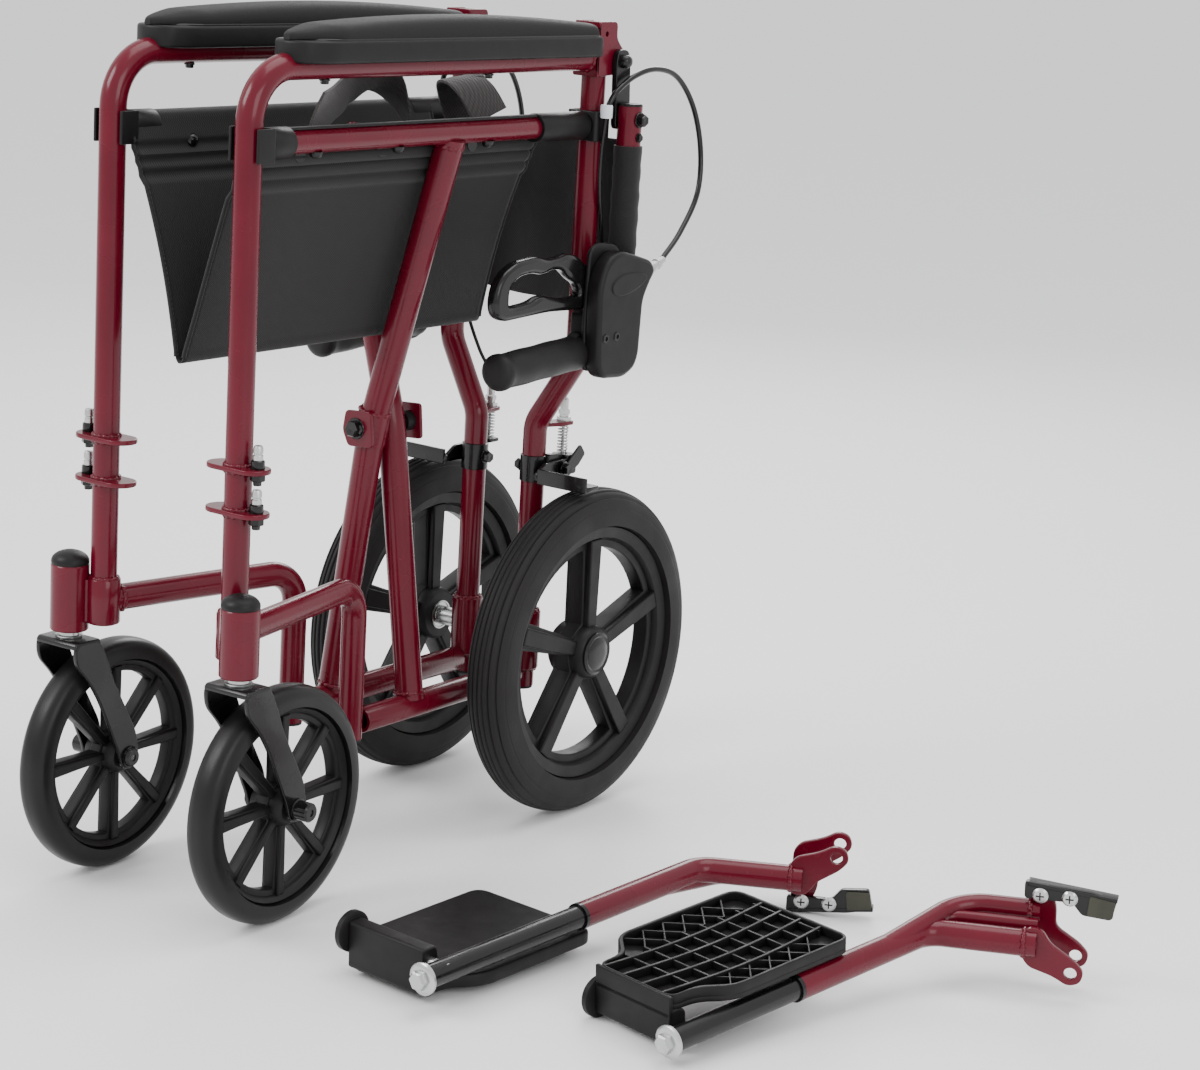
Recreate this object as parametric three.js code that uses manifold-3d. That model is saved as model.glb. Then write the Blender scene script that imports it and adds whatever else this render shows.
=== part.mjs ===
// Transport wheelchair, folded for transport: the side frames drawn together, the back folded down
// behind them, and the two swing-away legrests taken off and laid on the floor beside it.
// Millimetres, +Z up. The chair is drawn about its own centre plane x = 0, +X the sitter's left,
// -Y the front, z = 0 the floor; the whole group is then moved so that the origin is the middle of
// the floor rectangle that everything stands on.
import * as THREE from "three";
import Module from "manifold-3d";
import { mergeVertices } from "three/addons/utils/BufferGeometryUtils.js";

const wasm = await Module();
wasm.setup();

// ---- Driving dimensions --------------------------------------------------------------------------
const GAP = 0.3; // air left between pieces that touch
const RUN = 0.4; // radial clearance of a pin or tube that turns or slides in another piece

// Side frames
const FRAME_HALF = 74.5; // half the distance between the side frames, folded
const TUBE_R = 11.1; // frame tube, 22.2 mm outside
const FRONT_Y = -148.5;
const ARM_Z = 705;
const ARM_BEND_R = 45;
const REAR_Y = 304;
const LOWER_HALF = 35; // half the distance between the lower rails, folded
const LOWER_RAIL_Z = 123;
const LOWER_FRONT_Y = 48; // upright at the front end of the lower rail
const LOWER_REAR_Y = 298; // foot of the rear post
const LOWER_TUBE_Z = 249;
const LOWER_BEND_R = 28;
const KNEE_TOP_Z = 430; // the rear post steps inboard between these heights
const KNEE_LOW_Z = 364;
const KNEE_R = 30;
const POST_FOOT_Z = 108;

// Back hinge at the top of the rear post
const BRACKET_TOP_Z = 738;
const BRACKET_LOW_Z = 689;
const BRACKET_WALL = 2.5;
const BRACKET_DEPTH = 28;
const HINGE_Y = 321;
const HINGE_Z = 703;
const HINGE_PIN_R = 4;
const HINGE_LOBE_R = 11;

// Legrest pegs on the front upright
const PEG_PLATE_Z = 352; // lower of the two plates
const PEG_PLATE_PITCH = 36;
const PEG_PLATE_T = 4;
const PEG_PLATE_HALF = 30;
const PEG_PLATE_R = 14.5;
const PEG_OUT = 20.5; // peg from the upright's axis
const PEG_R = 4;
const PEG_UP = 19;
const PEG_DOWN = 9;

// Castors
const STEM_OUT = 22.5; // castor stem outboard of the upright
const STEM_AHEAD = 17; // castor stem ahead of the upright
const STEM_X = FRAME_HALF + STEM_OUT;
const STEM_Y = FRONT_Y - STEM_AHEAD;
const HEAD_TUBE_R = 16.2;
const HEAD_TUBE_LOW_Z = 222;
const HEAD_TUBE_TOP_Z = 279;
const FRONT_SLEEVE_R = 14.2;
const FRONT_SLEEVE_TOP_Z = 268;
const CASTOR_R = 101.6; // 8 inch wheel
const CASTOR_HALF_W = 14.5;
const CASTOR_RIM_R = 84;
const CASTOR_TRAIL = 53;
const CASTOR_TURN = 3; // degrees, both stand slightly off straight
const STEM_R = 8;
const FORK_T = 4;
const FORK_GAP = 4.5; // tyre to fork leg
const CASTOR_AXLE_R = 5;
const CASTOR_HUB_R = 17;
const CASTOR_SPOKES = 8;

// Rear wheels
const WHEEL_R = 155; // 12 inch wheel
const WHEEL_X = 94.3;
const WHEEL_Y = 305.9;
const WHEEL_HALF_W = 21;
const WHEEL_RIM_R = 121;
const WHEEL_AXLE_R = 6;
const WHEEL_HUB_R = 25;
const WHEEL_HUB_HALF = 22;
const WHEEL_SPOKES = 5;
const AXLE_SLEEVE_R = 14.5;
const AXLE_SLEEVE_HALF = 28;

// Cross brace and seat
const PIVOT_Z = 378;
const SEAT_RAIL_Z = 645;
const SEAT_RAIL_R = 9.5;
const SEAT_RAIL_FRONT_Y = FRONT_Y + 29.5;
const SEAT_RAIL_REAR_Y = 232;
const BRACE_R = 12.7;
const BRACE_FRONT_Y = 103; // the brace that carries the left seat rail
const BRACE_REAR_Y = 130; // the brace that carries the right seat rail
const RAIL_SLEEVE_R = 11.5;
const RAIL_SLEEVE_START_Y = 64;
const RAIL_SLEEVE_END_Y = 282;
const RAIL_STUB_R = 7.5;
const RAIL_STUB_LENGTH = 32;
const PIVOT_BOLT_R = 4;
const PIVOT_HEAD_R = 7;
const PIVOT_HEAD_T = 5;
const PIVOT_FLANGE_HALF = 15;
const PIVOT_FLANGE_T = 4;
const PIVOT_REAR_GAP = 11; // rear brace to the rear flange
const GUIDE_HEIGHT = 27;
const GUIDE_WALL = 2.8;
const GUIDE_NECK = 14; // guide's grip on the seat rail's end
const GUIDE_PLAY = 2.2; // side play of a seat rail guide on its upright
const SLING_T = 4;
const SLING_OFF = 16.4; // sling to brace axis
const SLING_FRONT_Y = FRONT_Y + 19.5;
const SLING_REAR_Y = 240;
const SLING_LENGTH = 120; // part that turns with the seat rail
const SLING_INNER_LENGTH = 36; // part that draws out towards the middle

// Armrests
const PAD_FRONT_Y = FRONT_Y + 35.5;
const PAD_REAR_Y = 286;
const PAD_X = FRAME_HALF + 1.5;
const PAD_BASE_HALF = 26;
const PAD_BASE_LOW_Z = 707;
const PAD_BASE_TOP_Z = 726;
const PAD_HALF = 24;
const PAD_TOP_Z = 743;
const PAD_END_TOP_Z = 731;

// Folding back and push handles
const CANE_OUT = 28.5; // cane outboard of the rear post
const CANE_X = FRAME_HALF + CANE_OUT;
const CANE_Y = 324;
const CANE_TOP_Z = 664;
const CANE_BEND_R = 38;
const HANDLE_Z = 448; // where the handle meets the cane's line
const HANDLE_SLOPE = 0.06; // rise per millimetre towards the cane
const HANDLE_END_Y = 150;
const GRIP_R = 16;
const GRIP_END_Y = 142;
const GRIP_ROOT_Y = 281;
const HINGE_STRAP_BITE = 2.8; // strap let into the cane
const HINGE_STRAP_T = CANE_OUT - 2 * TUBE_R - 2 * GAP - BRACKET_WALL + HINGE_STRAP_BITE;
const HINGE_STRAP_HALF = 10;
const BACK_T = 8;
const BACK_Y = 332;
const BACK_TOP_Z = 628;
const BACK_LOW_Z = 482;
const BACK_HALF = CANE_X - 19;
const BACK_MIDDLE_GAP = 9;

// Hand brakes
const HOUSING_CLEAR = 0.5; // brake housing beside the cane
const HOUSING_IN_X = CANE_X + TUBE_R + HOUSING_CLEAR;
const HOUSING_OUT_X = HOUSING_IN_X + 16.4;
const LEVER_X = CANE_X + 1;
const LEVER_T = 12;
const LEVER_PIVOT_Y = 291;
const LEVER_PIVOT_Z = 508;
const LEVER_PIN_R = 3;
const CABLE_R = 2.5;

// Wheel brakes
const BRAKE_PIVOT_Y = 316;
const BRAKE_PIVOT_Z = 321;
const BRAKE_PIN_R = 3;
const BRAKE_BAR_X = 54;
const BRAKE_BAR_T = 4;
const BRAKE_GAP = 4; // shoe above the tyre, released
const TAB_Z = 362;
const TAB_Y = 330;
const TAB_X = 44;

// Legrests
const LEG_LENGTH = 158; // hanger tube, lower end to bend
const LEG_OUT = { left: 136, right: 182 }; // extension tube that shows
const LEG_TUBE_WALL = 1.2;
const EXTENSION_R = TUBE_R - LEG_TUBE_WALL - RUN;
const STOP_R = TUBE_R + 1.9; // stop collar at the foot of the extension
const EXTENSION_INSIDE = 56;
const HANGER_BORE_DEPTH = 72;
const HANGER_BEND = 59; // degrees
const HANGER_BEND_R = 26;
const MEMBER_R = 8.6;
const MEMBER_LENGTH = 88;
const MEMBER_RISE = 14;
const EAR_T = 5;
const EAR_HOLE_R = 5.2;
const EAR_R = 10;
const EAR_OUT = 118; // eye along the members, from the bend
const EAR_DOWN = 22;
const LATCH_T = 6;
const LATCH_PIN_R = 3;
const LATCH_W = 31; // latch pin off the plane of the hanger tube
const PLATE_LENGTH = 168;
const PLATE_WIDTH = 130;
const PLATE_T = 13;
const PLATE_OVER = 5; // plate past the leg tube's axis
const PLATE_RISE = 13.8; // plate's face off the leg tube's axis
const HEEL_WIDTH = 83;
const HEEL_CLEAR = STOP_R + 0.8; // heel beside the leg tube's axis
const HEEL_T = 16;
const HEEL_Y = 14;
const HEEL_DROP = 15;
const FOOT_PIN_R = 4;
const FOOT_PIN_Y = 22;
const BUMPER_R = 17;
// Where each legrest lies: foot end of its tube, heading of the tube from +Y, and its tilt, degrees
const LEGREST_PLACE = {
  left: { x: 509, y: -129, heading: -10.9, tilt: 4.6 },
  right: { x: 316, y: -185, heading: -4.5, tilt: 1.6 },
};

// ---- Finishes ------------------------------------------------------------------------------------
const finish = (color, roughness, metalness) => ({ color, roughness, metalness });
const CRIMSON = finish(0x7a0a26, 0.25, 0.55);
const BLACK_STEEL = finish(0x161516, 0.35, 0.4);
const BLACK_PLASTIC = finish(0x1e1b1d, 0.5, 0);
const GRIP_RUBBER = finish(0x242122, 0.8, 0);
const TYRE_RUBBER = finish(0x2a2828, 0.85, 0);
const BLACK_FABRIC = finish(0x111111, 0.95, 0);
const FOAM = finish(0x1b1a1a, 0.9, 0);
const ZINC = finish(0xb9bbb8, 0.35, 0.9);

// ---- Geometry helpers ----------------------------------------------------------------------------
const v = (x, y, z) => new THREE.Vector3(x, y, z);
const degrees = THREE.MathUtils.degToRad;

// A run of straight lines rounded at its corners; every station is one cross-section of the tube.
class BentPath extends THREE.Curve {
  constructor(corners, radii, arcSteps) {
    super();
    this.points = [];
    this.tangents = [];
    this.place(corners[0], corners[1].clone().sub(corners[0]).normalize());
    for (let i = 1; i < corners.length - 1; i += 1) {
      const into = corners[i].clone().sub(corners[i - 1]).normalize();
      const out = corners[i + 1].clone().sub(corners[i]).normalize();
      const turn = into.angleTo(out);
      const axis = into.clone().cross(out).normalize();
      const radius = radii[Math.min(i - 1, radii.length - 1)];
      const start = corners[i].clone().addScaledVector(into, -radius * Math.tan(turn / 2));
      const toCentre = out.clone().sub(into).normalize();
      const centre = corners[i].clone().addScaledVector(toCentre, radius / Math.cos(turn / 2));
      for (let k = 0; k <= arcSteps; k += 1) {
        const angle = (turn * k) / arcSteps;
        const spoke = start.clone().sub(centre).applyAxisAngle(axis, angle);
        this.place(spoke.add(centre), into.clone().applyAxisAngle(axis, angle));
      }
    }
    const last = corners.length - 1;
    this.place(corners[last], corners[last].clone().sub(corners[last - 1]).normalize());
    this.steps = this.points.length - 1;
  }

  place(point, tangent) {
    this.points.push(point.clone());
    this.tangents.push(tangent.clone());
  }

  getPointAt(u) {
    return this.points[Math.round(u * this.steps)].clone();
  }

  getTangentAt(u) {
    return this.tangents[Math.round(u * this.steps)].clone();
  }
}

function ring(radius, sides) {
  const points = [];
  for (let i = 0; i < sides; i += 1) {
    const angle = ((i + 0.5) * 2 * Math.PI) / sides;
    points.push(new THREE.Vector2(radius * Math.cos(angle), radius * Math.sin(angle)));
  }
  return new THREE.Shape(points);
}

// Round bar along straight runs with bends of the given radii
function bar(radius, corners, radii = [1], sides = 12, arcSteps = 4) {
  const path = new BentPath(corners, radii, arcSteps);
  return new THREE.ExtrudeGeometry(ring(radius, sides), {
    steps: path.steps,
    extrudePath: path,
    bevelEnabled: false,
  });
}

// Flat plate: outline in (a, b), thickness along the remaining axis, centred on `at` along it
function plate(outline, thickness, axis, at = 0) {
  const isShape = outline instanceof THREE.Shape;
  const shape = isShape ? outline : new THREE.Shape(outline.map(([a, b]) => new THREE.Vector2(a, b)));
  const options = { depth: thickness, bevelEnabled: false, curveSegments: 6 };
  const geometry = new THREE.ExtrudeGeometry(shape, options);
  geometry.translate(0, 0, -thickness / 2);
  const turn = new THREE.Matrix4();
  if (axis === "x") turn.makeBasis(v(0, 1, 0), v(0, 0, 1), v(1, 0, 0)).setPosition(at, 0, 0);
  if (axis === "y") turn.makeBasis(v(0, 0, 1), v(1, 0, 0), v(0, 1, 0)).setPosition(0, at, 0);
  if (axis === "z") turn.makeTranslation(0, 0, at);
  return geometry.applyMatrix4(turn);
}

function block(x0, x1, y0, y1, z0, z1) {
  const geometry = new THREE.BoxGeometry(x1 - x0, y1 - y0, z1 - z0);
  return geometry.translate((x0 + x1) / 2, (y0 + y1) / 2, (z0 + z1) / 2);
}

// Solid of revolution: profile of [radius, height] pairs, turned about the named axis
function turned(profile, sides, axis, phase = 0) {
  const points = profile.map(([r, h]) => new THREE.Vector2(r, h));
  const geometry = new THREE.LatheGeometry(points, sides, phase, 2 * Math.PI);
  if (axis === "x") geometry.rotateZ(-Math.PI / 2);
  if (axis === "z") geometry.rotateX(Math.PI / 2);
  return facingOut(geometry);
}

function pin(radius, from, to, sides = 12) {
  return bar(radius, [from, to], [1], sides);
}

function bareIndexed(geometry) {
  const bare = geometry.index ? geometry.toNonIndexed() : geometry.clone();
  bare.deleteAttribute("normal");
  bare.deleteAttribute("uv");
  return mergeVertices(bare, 1e-4);
}

function toSolid(geometry) {
  const merged = bareIndexed(geometry);
  const triVerts = new Uint32Array(merged.index.array);
  const vertProperties = merged.attributes.position.array;
  return new wasm.Manifold(new wasm.Mesh({ numProp: 3, vertProperties, triVerts }));
}

function toGeometry(solid) {
  const mesh = solid.getMesh();
  const geometry = new THREE.BufferGeometry();
  geometry.setAttribute("position", new THREE.BufferAttribute(mesh.vertProperties, 3));
  geometry.setIndex(new THREE.BufferAttribute(mesh.triVerts, 1));
  geometry.computeVertexNormals();
  return geometry;
}

// A lathe profile may run either way; its faces are turned to point out.
function facingOut(geometry) {
  const merged = bareIndexed(geometry);
  if (toSolid(merged).volume() > 0) return merged;
  const order = merged.index.array;
  for (let i = 0; i < order.length; i += 3) {
    [order[i + 1], order[i + 2]] = [order[i + 2], order[i + 1]];
  }
  return merged;
}

function join(...pieces) {
  return toGeometry(pieces.map(toSolid).reduce((whole, piece) => whole.add(piece)));
}

function cut(piece, ...tools) {
  return toGeometry(tools.map(toSolid).reduce((left, tool) => left.subtract(tool), toSolid(piece)));
}

function place(group, name, geometry, look) {
  const mesh = new THREE.Mesh(geometry, new THREE.MeshStandardMaterial(look));
  mesh.name = name;
  group.add(mesh);
  return mesh;
}

// ---- Side frame (drawn for the left side; the right one is its mirror image) ---------------------
function frontUpright() {
  const top = REAR_Y - TUBE_R - BRACKET_WALL - GAP;
  const foot = v(FRAME_HALF, FRONT_Y, FRONT_SLEEVE_TOP_Z + GAP);
  const line = [foot, v(FRAME_HALF, FRONT_Y, ARM_Z), v(FRAME_HALF, top, ARM_Z)];
  const parts = [bar(TUBE_R, line, [ARM_BEND_R], 14, 7)];
  for (const z of [PEG_PLATE_Z, PEG_PLATE_Z + PEG_PLATE_PITCH]) {
    const reach = PEG_PLATE_HALF - PEG_PLATE_R;
    const oval = new THREE.Shape();
    oval.absarc(FRAME_HALF + reach, FRONT_Y, PEG_PLATE_R, -Math.PI / 2, Math.PI / 2, false);
    oval.absarc(FRAME_HALF - reach, FRONT_Y, PEG_PLATE_R, Math.PI / 2, (3 * Math.PI) / 2, false);
    const pegX = FRAME_HALF + PEG_OUT;
    parts.push(plate(oval, PEG_PLATE_T, "z", z));
    parts.push(pin(PEG_R, v(pegX, FRONT_Y, z - PEG_DOWN), v(pegX, FRONT_Y, z + PEG_UP), 10));
  }
  return join(...parts);
}

const onLowerRail = (y) => v(LOWER_HALF, y, LOWER_RAIL_Z);

function headTube() {
  const bore = STEM_R + RUN;
  const outline = [
    [0, HEAD_TUBE_TOP_Z],
    [HEAD_TUBE_R, HEAD_TUBE_TOP_Z],
    [HEAD_TUBE_R, HEAD_TUBE_LOW_Z],
    [bore, HEAD_TUBE_LOW_Z],
    [bore, HEAD_TUBE_TOP_Z - 8],
    [0, HEAD_TUBE_TOP_Z - 8],
  ];
  return turned(outline, 18, "z").translate(STEM_X, STEM_Y, 0);
}

function lowerFrontTube() {
  const onUpright = (z) => v(FRAME_HALF, FRONT_Y, z);
  const sleeve = pin(FRONT_SLEEVE_R, onUpright(HEAD_TUBE_LOW_Z + 8), onUpright(FRONT_SLEEVE_TOP_Z), 16);
  const run = bar(
    TUBE_R,
    [
      v(FRAME_HALF, FRONT_Y, LOWER_TUBE_Z),
      v(LOWER_HALF, LOWER_FRONT_Y, LOWER_TUBE_Z),
      v(LOWER_HALF, LOWER_FRONT_Y, LOWER_RAIL_Z - TUBE_R - 2),
    ],
    [LOWER_BEND_R],
    14,
    5,
  );
  const stubEnd = onLowerRail(RAIL_SLEEVE_START_Y + RAIL_STUB_LENGTH);
  const stub = pin(RAIL_STUB_R, onLowerRail(LOWER_FRONT_Y), stubEnd);
  const onStem = (z) => v(STEM_X, STEM_Y, z);
  const bore = pin(STEM_R + RUN + 1, onStem(HEAD_TUBE_LOW_Z - 5), onStem(HEAD_TUBE_TOP_Z - 9), 18);
  return join(headTube(), cut(join(sleeve, run), bore), stub);
}

function rearPost() {
  const post = bar(
    TUBE_R,
    [
      v(FRAME_HALF, REAR_Y, BRACKET_TOP_Z - 2),
      v(FRAME_HALF, REAR_Y, KNEE_TOP_Z),
      v(LOWER_HALF, LOWER_REAR_Y, KNEE_LOW_Z),
      v(LOWER_HALF, LOWER_REAR_Y, POST_FOOT_Z),
    ],
    [KNEE_R],
    14,
    3,
  );
  const sleeve = pin(
    AXLE_SLEEVE_R,
    v(LOWER_HALF, LOWER_REAR_Y, WHEEL_R - AXLE_SLEEVE_HALF),
    v(LOWER_HALF, LOWER_REAR_Y, WHEEL_R + AXLE_SLEEVE_HALF),
    16,
  );
  const stub = pin(RAIL_STUB_R, onLowerRail(LOWER_REAR_Y), onLowerRail(RAIL_SLEEVE_END_Y - RAIL_STUB_LENGTH));
  const tab = block(TAB_X - 8, TAB_X + 8, LOWER_REAR_Y, TAB_Y + 8, TAB_Z - 2, TAB_Z + 2);
  const brakeInner = BRAKE_BAR_X - BRAKE_BAR_T / 2 - GAP;
  const low = BRAKE_PIVOT_Z - 9;
  const high = BRAKE_PIVOT_Z + 9;
  const bracket = block(LOWER_HALF, brakeInner, LOWER_REAR_Y, BRAKE_PIVOT_Y + 8, low, high);
  const onPivot = (x) => v(x, BRAKE_PIVOT_Y, BRAKE_PIVOT_Z);
  const pivot = pin(BRAKE_PIN_R, onPivot(LOWER_HALF + 4), onPivot(BRAKE_BAR_X + 5));
  const axleHole = pin(WHEEL_AXLE_R + RUN, v(0, WHEEL_Y, WHEEL_R), v(LOWER_HALF * 2, WHEEL_Y, WHEEL_R));
  return cut(join(post, sleeve, stub, tab, bracket, pivot), axleHole);
}

// Channel round the top of the rear post, with the lobes that hold the back's hinge pin
function hingeBracket() {
  const inner = TUBE_R + GAP;
  const outer = inner + BRACKET_WALL;
  const front = REAR_Y - outer;
  const back = REAR_Y - inner;
  const web = block(FRAME_HALF - outer, FRAME_HALF + outer, front, back, BRACKET_LOW_Z, BRACKET_TOP_Z);
  const flange = new THREE.Shape();
  flange.moveTo(front, BRACKET_LOW_Z);
  flange.lineTo(HINGE_Y + 2, BRACKET_LOW_Z + 2);
  flange.absarc(HINGE_Y + 1, HINGE_Z, HINGE_LOBE_R, -Math.PI / 2, Math.PI / 3, false);
  flange.lineTo(front + BRACKET_DEPTH, BRACKET_TOP_Z - 15);
  flange.lineTo(front + BRACKET_DEPTH, BRACKET_TOP_Z);
  flange.lineTo(front, BRACKET_TOP_Z);
  const middle = inner + BRACKET_WALL / 2;
  const hinge = pin(
    HINGE_PIN_R,
    v(FRAME_HALF - outer - 3, HINGE_Y, HINGE_Z),
    v(FRAME_HALF + outer + HINGE_STRAP_T + 4, HINGE_Y, HINGE_Z),
  );
  const onPost = (z) => v(FRAME_HALF, REAR_Y, z);
  const behindPost = pin(TUBE_R + GAP, onPost(BRACKET_LOW_Z - 5), onPost(BRACKET_TOP_Z + 5), 28);
  const channel = join(
    web,
    plate(flange, BRACKET_WALL, "x", FRAME_HALF - middle),
    plate(flange, BRACKET_WALL, "x", FRAME_HALF + middle),
    hinge,
  );
  return cut(channel, behindPost);
}

function armrest(group, side) {
  const sideView = new THREE.Shape();
  sideView.moveTo(PAD_FRONT_Y + 4, PAD_BASE_TOP_Z + GAP);
  sideView.lineTo(PAD_REAR_Y - 2, PAD_BASE_TOP_Z + GAP);
  sideView.lineTo(PAD_REAR_Y - 2, PAD_END_TOP_Z);
  const middle = (PAD_FRONT_Y + PAD_REAR_Y) / 2;
  sideView.quadraticCurveTo(middle, 2 * PAD_TOP_Z - PAD_END_TOP_Z, PAD_FRONT_Y + 4, PAD_END_TOP_Z);
  place(group, `armrest_pad_${side}`, plate(sideView, 2 * PAD_HALF, "x", PAD_X), FOAM);

  const nose = PAD_BASE_HALF * 0.8;
  const plan = new THREE.Shape();
  plan.moveTo(PAD_X + PAD_BASE_HALF, PAD_REAR_Y);
  plan.lineTo(PAD_X - PAD_BASE_HALF, PAD_REAR_Y);
  plan.lineTo(PAD_X - PAD_BASE_HALF, PAD_FRONT_Y + nose);
  plan.quadraticCurveTo(PAD_X - PAD_BASE_HALF, PAD_FRONT_Y, PAD_X, PAD_FRONT_Y);
  plan.quadraticCurveTo(PAD_X + PAD_BASE_HALF, PAD_FRONT_Y, PAD_X + PAD_BASE_HALF, PAD_FRONT_Y + nose);
  const height = PAD_BASE_TOP_Z - PAD_BASE_LOW_Z;
  const base = plate(plan, height, "z", (PAD_BASE_TOP_Z + PAD_BASE_LOW_Z) / 2);
  const top = REAR_Y - TUBE_R;
  const foot = v(FRAME_HALF, FRONT_Y, ARM_Z - 2 * ARM_BEND_R);
  const line = [foot, v(FRAME_HALF, FRONT_Y, ARM_Z), v(FRAME_HALF, top, ARM_Z)];
  const tube = bar(TUBE_R + GAP, line, [ARM_BEND_R], 28, 12);
  const half = TUBE_R + GAP;
  const low = PAD_BASE_LOW_Z - 5;
  const channel = block(FRAME_HALF - half, FRAME_HALF + half, PAD_FRONT_Y - 5, top, low, ARM_Z);
  place(group, `armrest_base_${side}`, cut(base, tube, channel), BLACK_PLASTIC);
}

// ---- Wheels --------------------------------------------------------------------------------------
// Facets of a tyre lie flat on the floor: an even count, with a facet centred straight below the axle.
function tyre(radius, rimRadius, halfWidth, sides) {
  const crown = radius / Math.cos(Math.PI / sides);
  const wall = radius - rimRadius;
  const profile = [
    [rimRadius, -halfWidth * 0.78],
    [rimRadius + wall * 0.45, -halfWidth],
    [radius - wall * 0.2, -halfWidth * 0.93],
    [crown, -halfWidth * 0.6],
    [crown, halfWidth * 0.6],
    [radius - wall * 0.2, halfWidth * 0.93],
    [rimRadius + wall * 0.45, halfWidth],
    [rimRadius, halfWidth * 0.78],
    [rimRadius, -halfWidth * 0.78],
  ];
  return turned(profile, sides, "x", Math.PI / sides);
}

function spokedWheel(size) {
  const { rimRadius, rimDepth, rimHalf, hubRadius, hubHalf, boreRadius } = size;
  const { spokes, spokeWidth, spokeT, sides } = size;
  const rim = turned(
    [
      [rimRadius - rimDepth, -rimHalf],
      [rimRadius - GAP, -rimHalf],
      [rimRadius - GAP, rimHalf],
      [rimRadius - rimDepth, rimHalf],
      [rimRadius - rimDepth, -rimHalf],
    ],
    sides,
    "x",
    Math.PI / sides,
  );
  const hub = turned(
    [
      [boreRadius, -hubHalf],
      [hubRadius, -hubHalf],
      [hubRadius, hubHalf],
      [boreRadius, hubHalf],
      [boreRadius, -hubHalf],
    ],
    16,
    "x",
  );
  const parts = [rim, hub];
  for (let i = 0; i < spokes; i += 1) {
    const angle = (2 * Math.PI * i) / spokes + Math.PI / 2;
    const inner = boreRadius + 3;
    const outer = rimRadius - rimDepth / 2;
    const arm = block(-spokeT / 2, spokeT / 2, inner, outer, -spokeWidth / 2, spokeWidth / 2);
    parts.push(arm.rotateX(angle));
  }
  return join(...parts);
}

function rearWheel(side) {
  const group = new THREE.Group();
  group.position.set(WHEEL_X, WHEEL_Y, WHEEL_R);
  place(group, `rear_tyre_${side}`, tyre(WHEEL_R, WHEEL_RIM_R, WHEEL_HALF_W, 36), TYRE_RUBBER);
  const wheel = spokedWheel({
    rimRadius: WHEEL_RIM_R,
    rimDepth: 16,
    rimHalf: WHEEL_HALF_W * 0.7,
    hubRadius: WHEEL_HUB_R,
    hubHalf: WHEEL_HUB_HALF,
    boreRadius: WHEEL_AXLE_R + RUN,
    spokes: WHEEL_SPOKES,
    spokeWidth: 24,
    spokeT: 11,
    sides: 36,
  });
  place(group, `rear_wheel_${side}`, wheel, BLACK_PLASTIC);
  return group;
}

function rearAxle() {
  const sleeveFace = LOWER_HALF + AXLE_SLEEVE_R + GAP;
  const hubInner = WHEEL_X - WHEEL_HUB_HALF - GAP;
  const hubOuter = WHEEL_X + WHEEL_HUB_HALF + GAP;
  const headFace = LOWER_HALF - AXLE_SLEEVE_R - GAP;
  const profile = [
    [0, headFace - 5],
    [10, headFace - 5],
    [10, headFace],
    [WHEEL_AXLE_R, headFace],
    [WHEEL_AXLE_R, sleeveFace],
    [9, sleeveFace],
    [9, hubInner],
    [WHEEL_AXLE_R, hubInner],
    [WHEEL_AXLE_R, hubOuter],
    [9, hubOuter],
    [9, hubOuter + 5],
    [0, hubOuter + 5],
  ];
  return turned(profile, 12, "x").translate(0, WHEEL_Y, WHEEL_R);
}

function castor(side) {
  const swivel = new THREE.Group();
  swivel.position.set(STEM_X, STEM_Y, 0);
  swivel.rotation.z = degrees(side === "left" ? CASTOR_TURN : -CASTOR_TURN);
  const crownZ = HEAD_TUBE_LOW_Z - 7;
  const legMiddle = CASTOR_HALF_W + FORK_GAP + FORK_T / 2;
  const leg = new THREE.Shape();
  leg.moveTo(-15, crownZ);
  leg.lineTo(14, crownZ);
  leg.lineTo(24, crownZ - 30);
  leg.lineTo(CASTOR_TRAIL + 11, CASTOR_R + 3);
  leg.absarc(CASTOR_TRAIL, CASTOR_R, 11, 0, -Math.PI, true);
  leg.lineTo(4, crownZ - 42);
  const crown = block(-legMiddle - FORK_T / 2, legMiddle + FORK_T / 2, -15, 14, crownZ - FORK_T, crownZ);
  const stem = pin(STEM_R, v(0, 0, crownZ - 1), v(0, 0, HEAD_TUBE_TOP_Z - 10), 14);
  const washer = pin(STEM_R + 4, v(0, 0, crownZ - 1), v(0, 0, HEAD_TUBE_LOW_Z - GAP), 14);
  const boltHalf = legMiddle + 9;
  const onAxle = (x) => v(x, CASTOR_TRAIL, CASTOR_R);
  const bolt = pin(CASTOR_AXLE_R, onAxle(-boltHalf), onAxle(boltHalf), 10);
  const legs = join(plate(leg, FORK_T, "x", -legMiddle), plate(leg, FORK_T, "x", legMiddle), crown);
  const fork = join(legs, stem, washer, bolt);
  place(swivel, `castor_fork_${side}`, fork, BLACK_STEEL);

  const spin = new THREE.Group();
  spin.position.set(0, CASTOR_TRAIL, CASTOR_R);
  place(spin, `castor_tyre_${side}`, tyre(CASTOR_R, CASTOR_RIM_R, CASTOR_HALF_W, 30), TYRE_RUBBER);
  const wheel = spokedWheel({
    rimRadius: CASTOR_RIM_R,
    rimDepth: 9,
    rimHalf: CASTOR_HALF_W * 0.75,
    hubRadius: CASTOR_HUB_R,
    hubHalf: CASTOR_HALF_W + FORK_GAP - 1.5,
    boreRadius: CASTOR_AXLE_R + RUN,
    spokes: CASTOR_SPOKES,
    spokeWidth: 9,
    spokeT: 8,
    sides: 30,
  });
  place(spin, `castor_wheel_${side}`, wheel, BLACK_PLASTIC);
  swivel.add(spin);
  return swivel;
}

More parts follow.
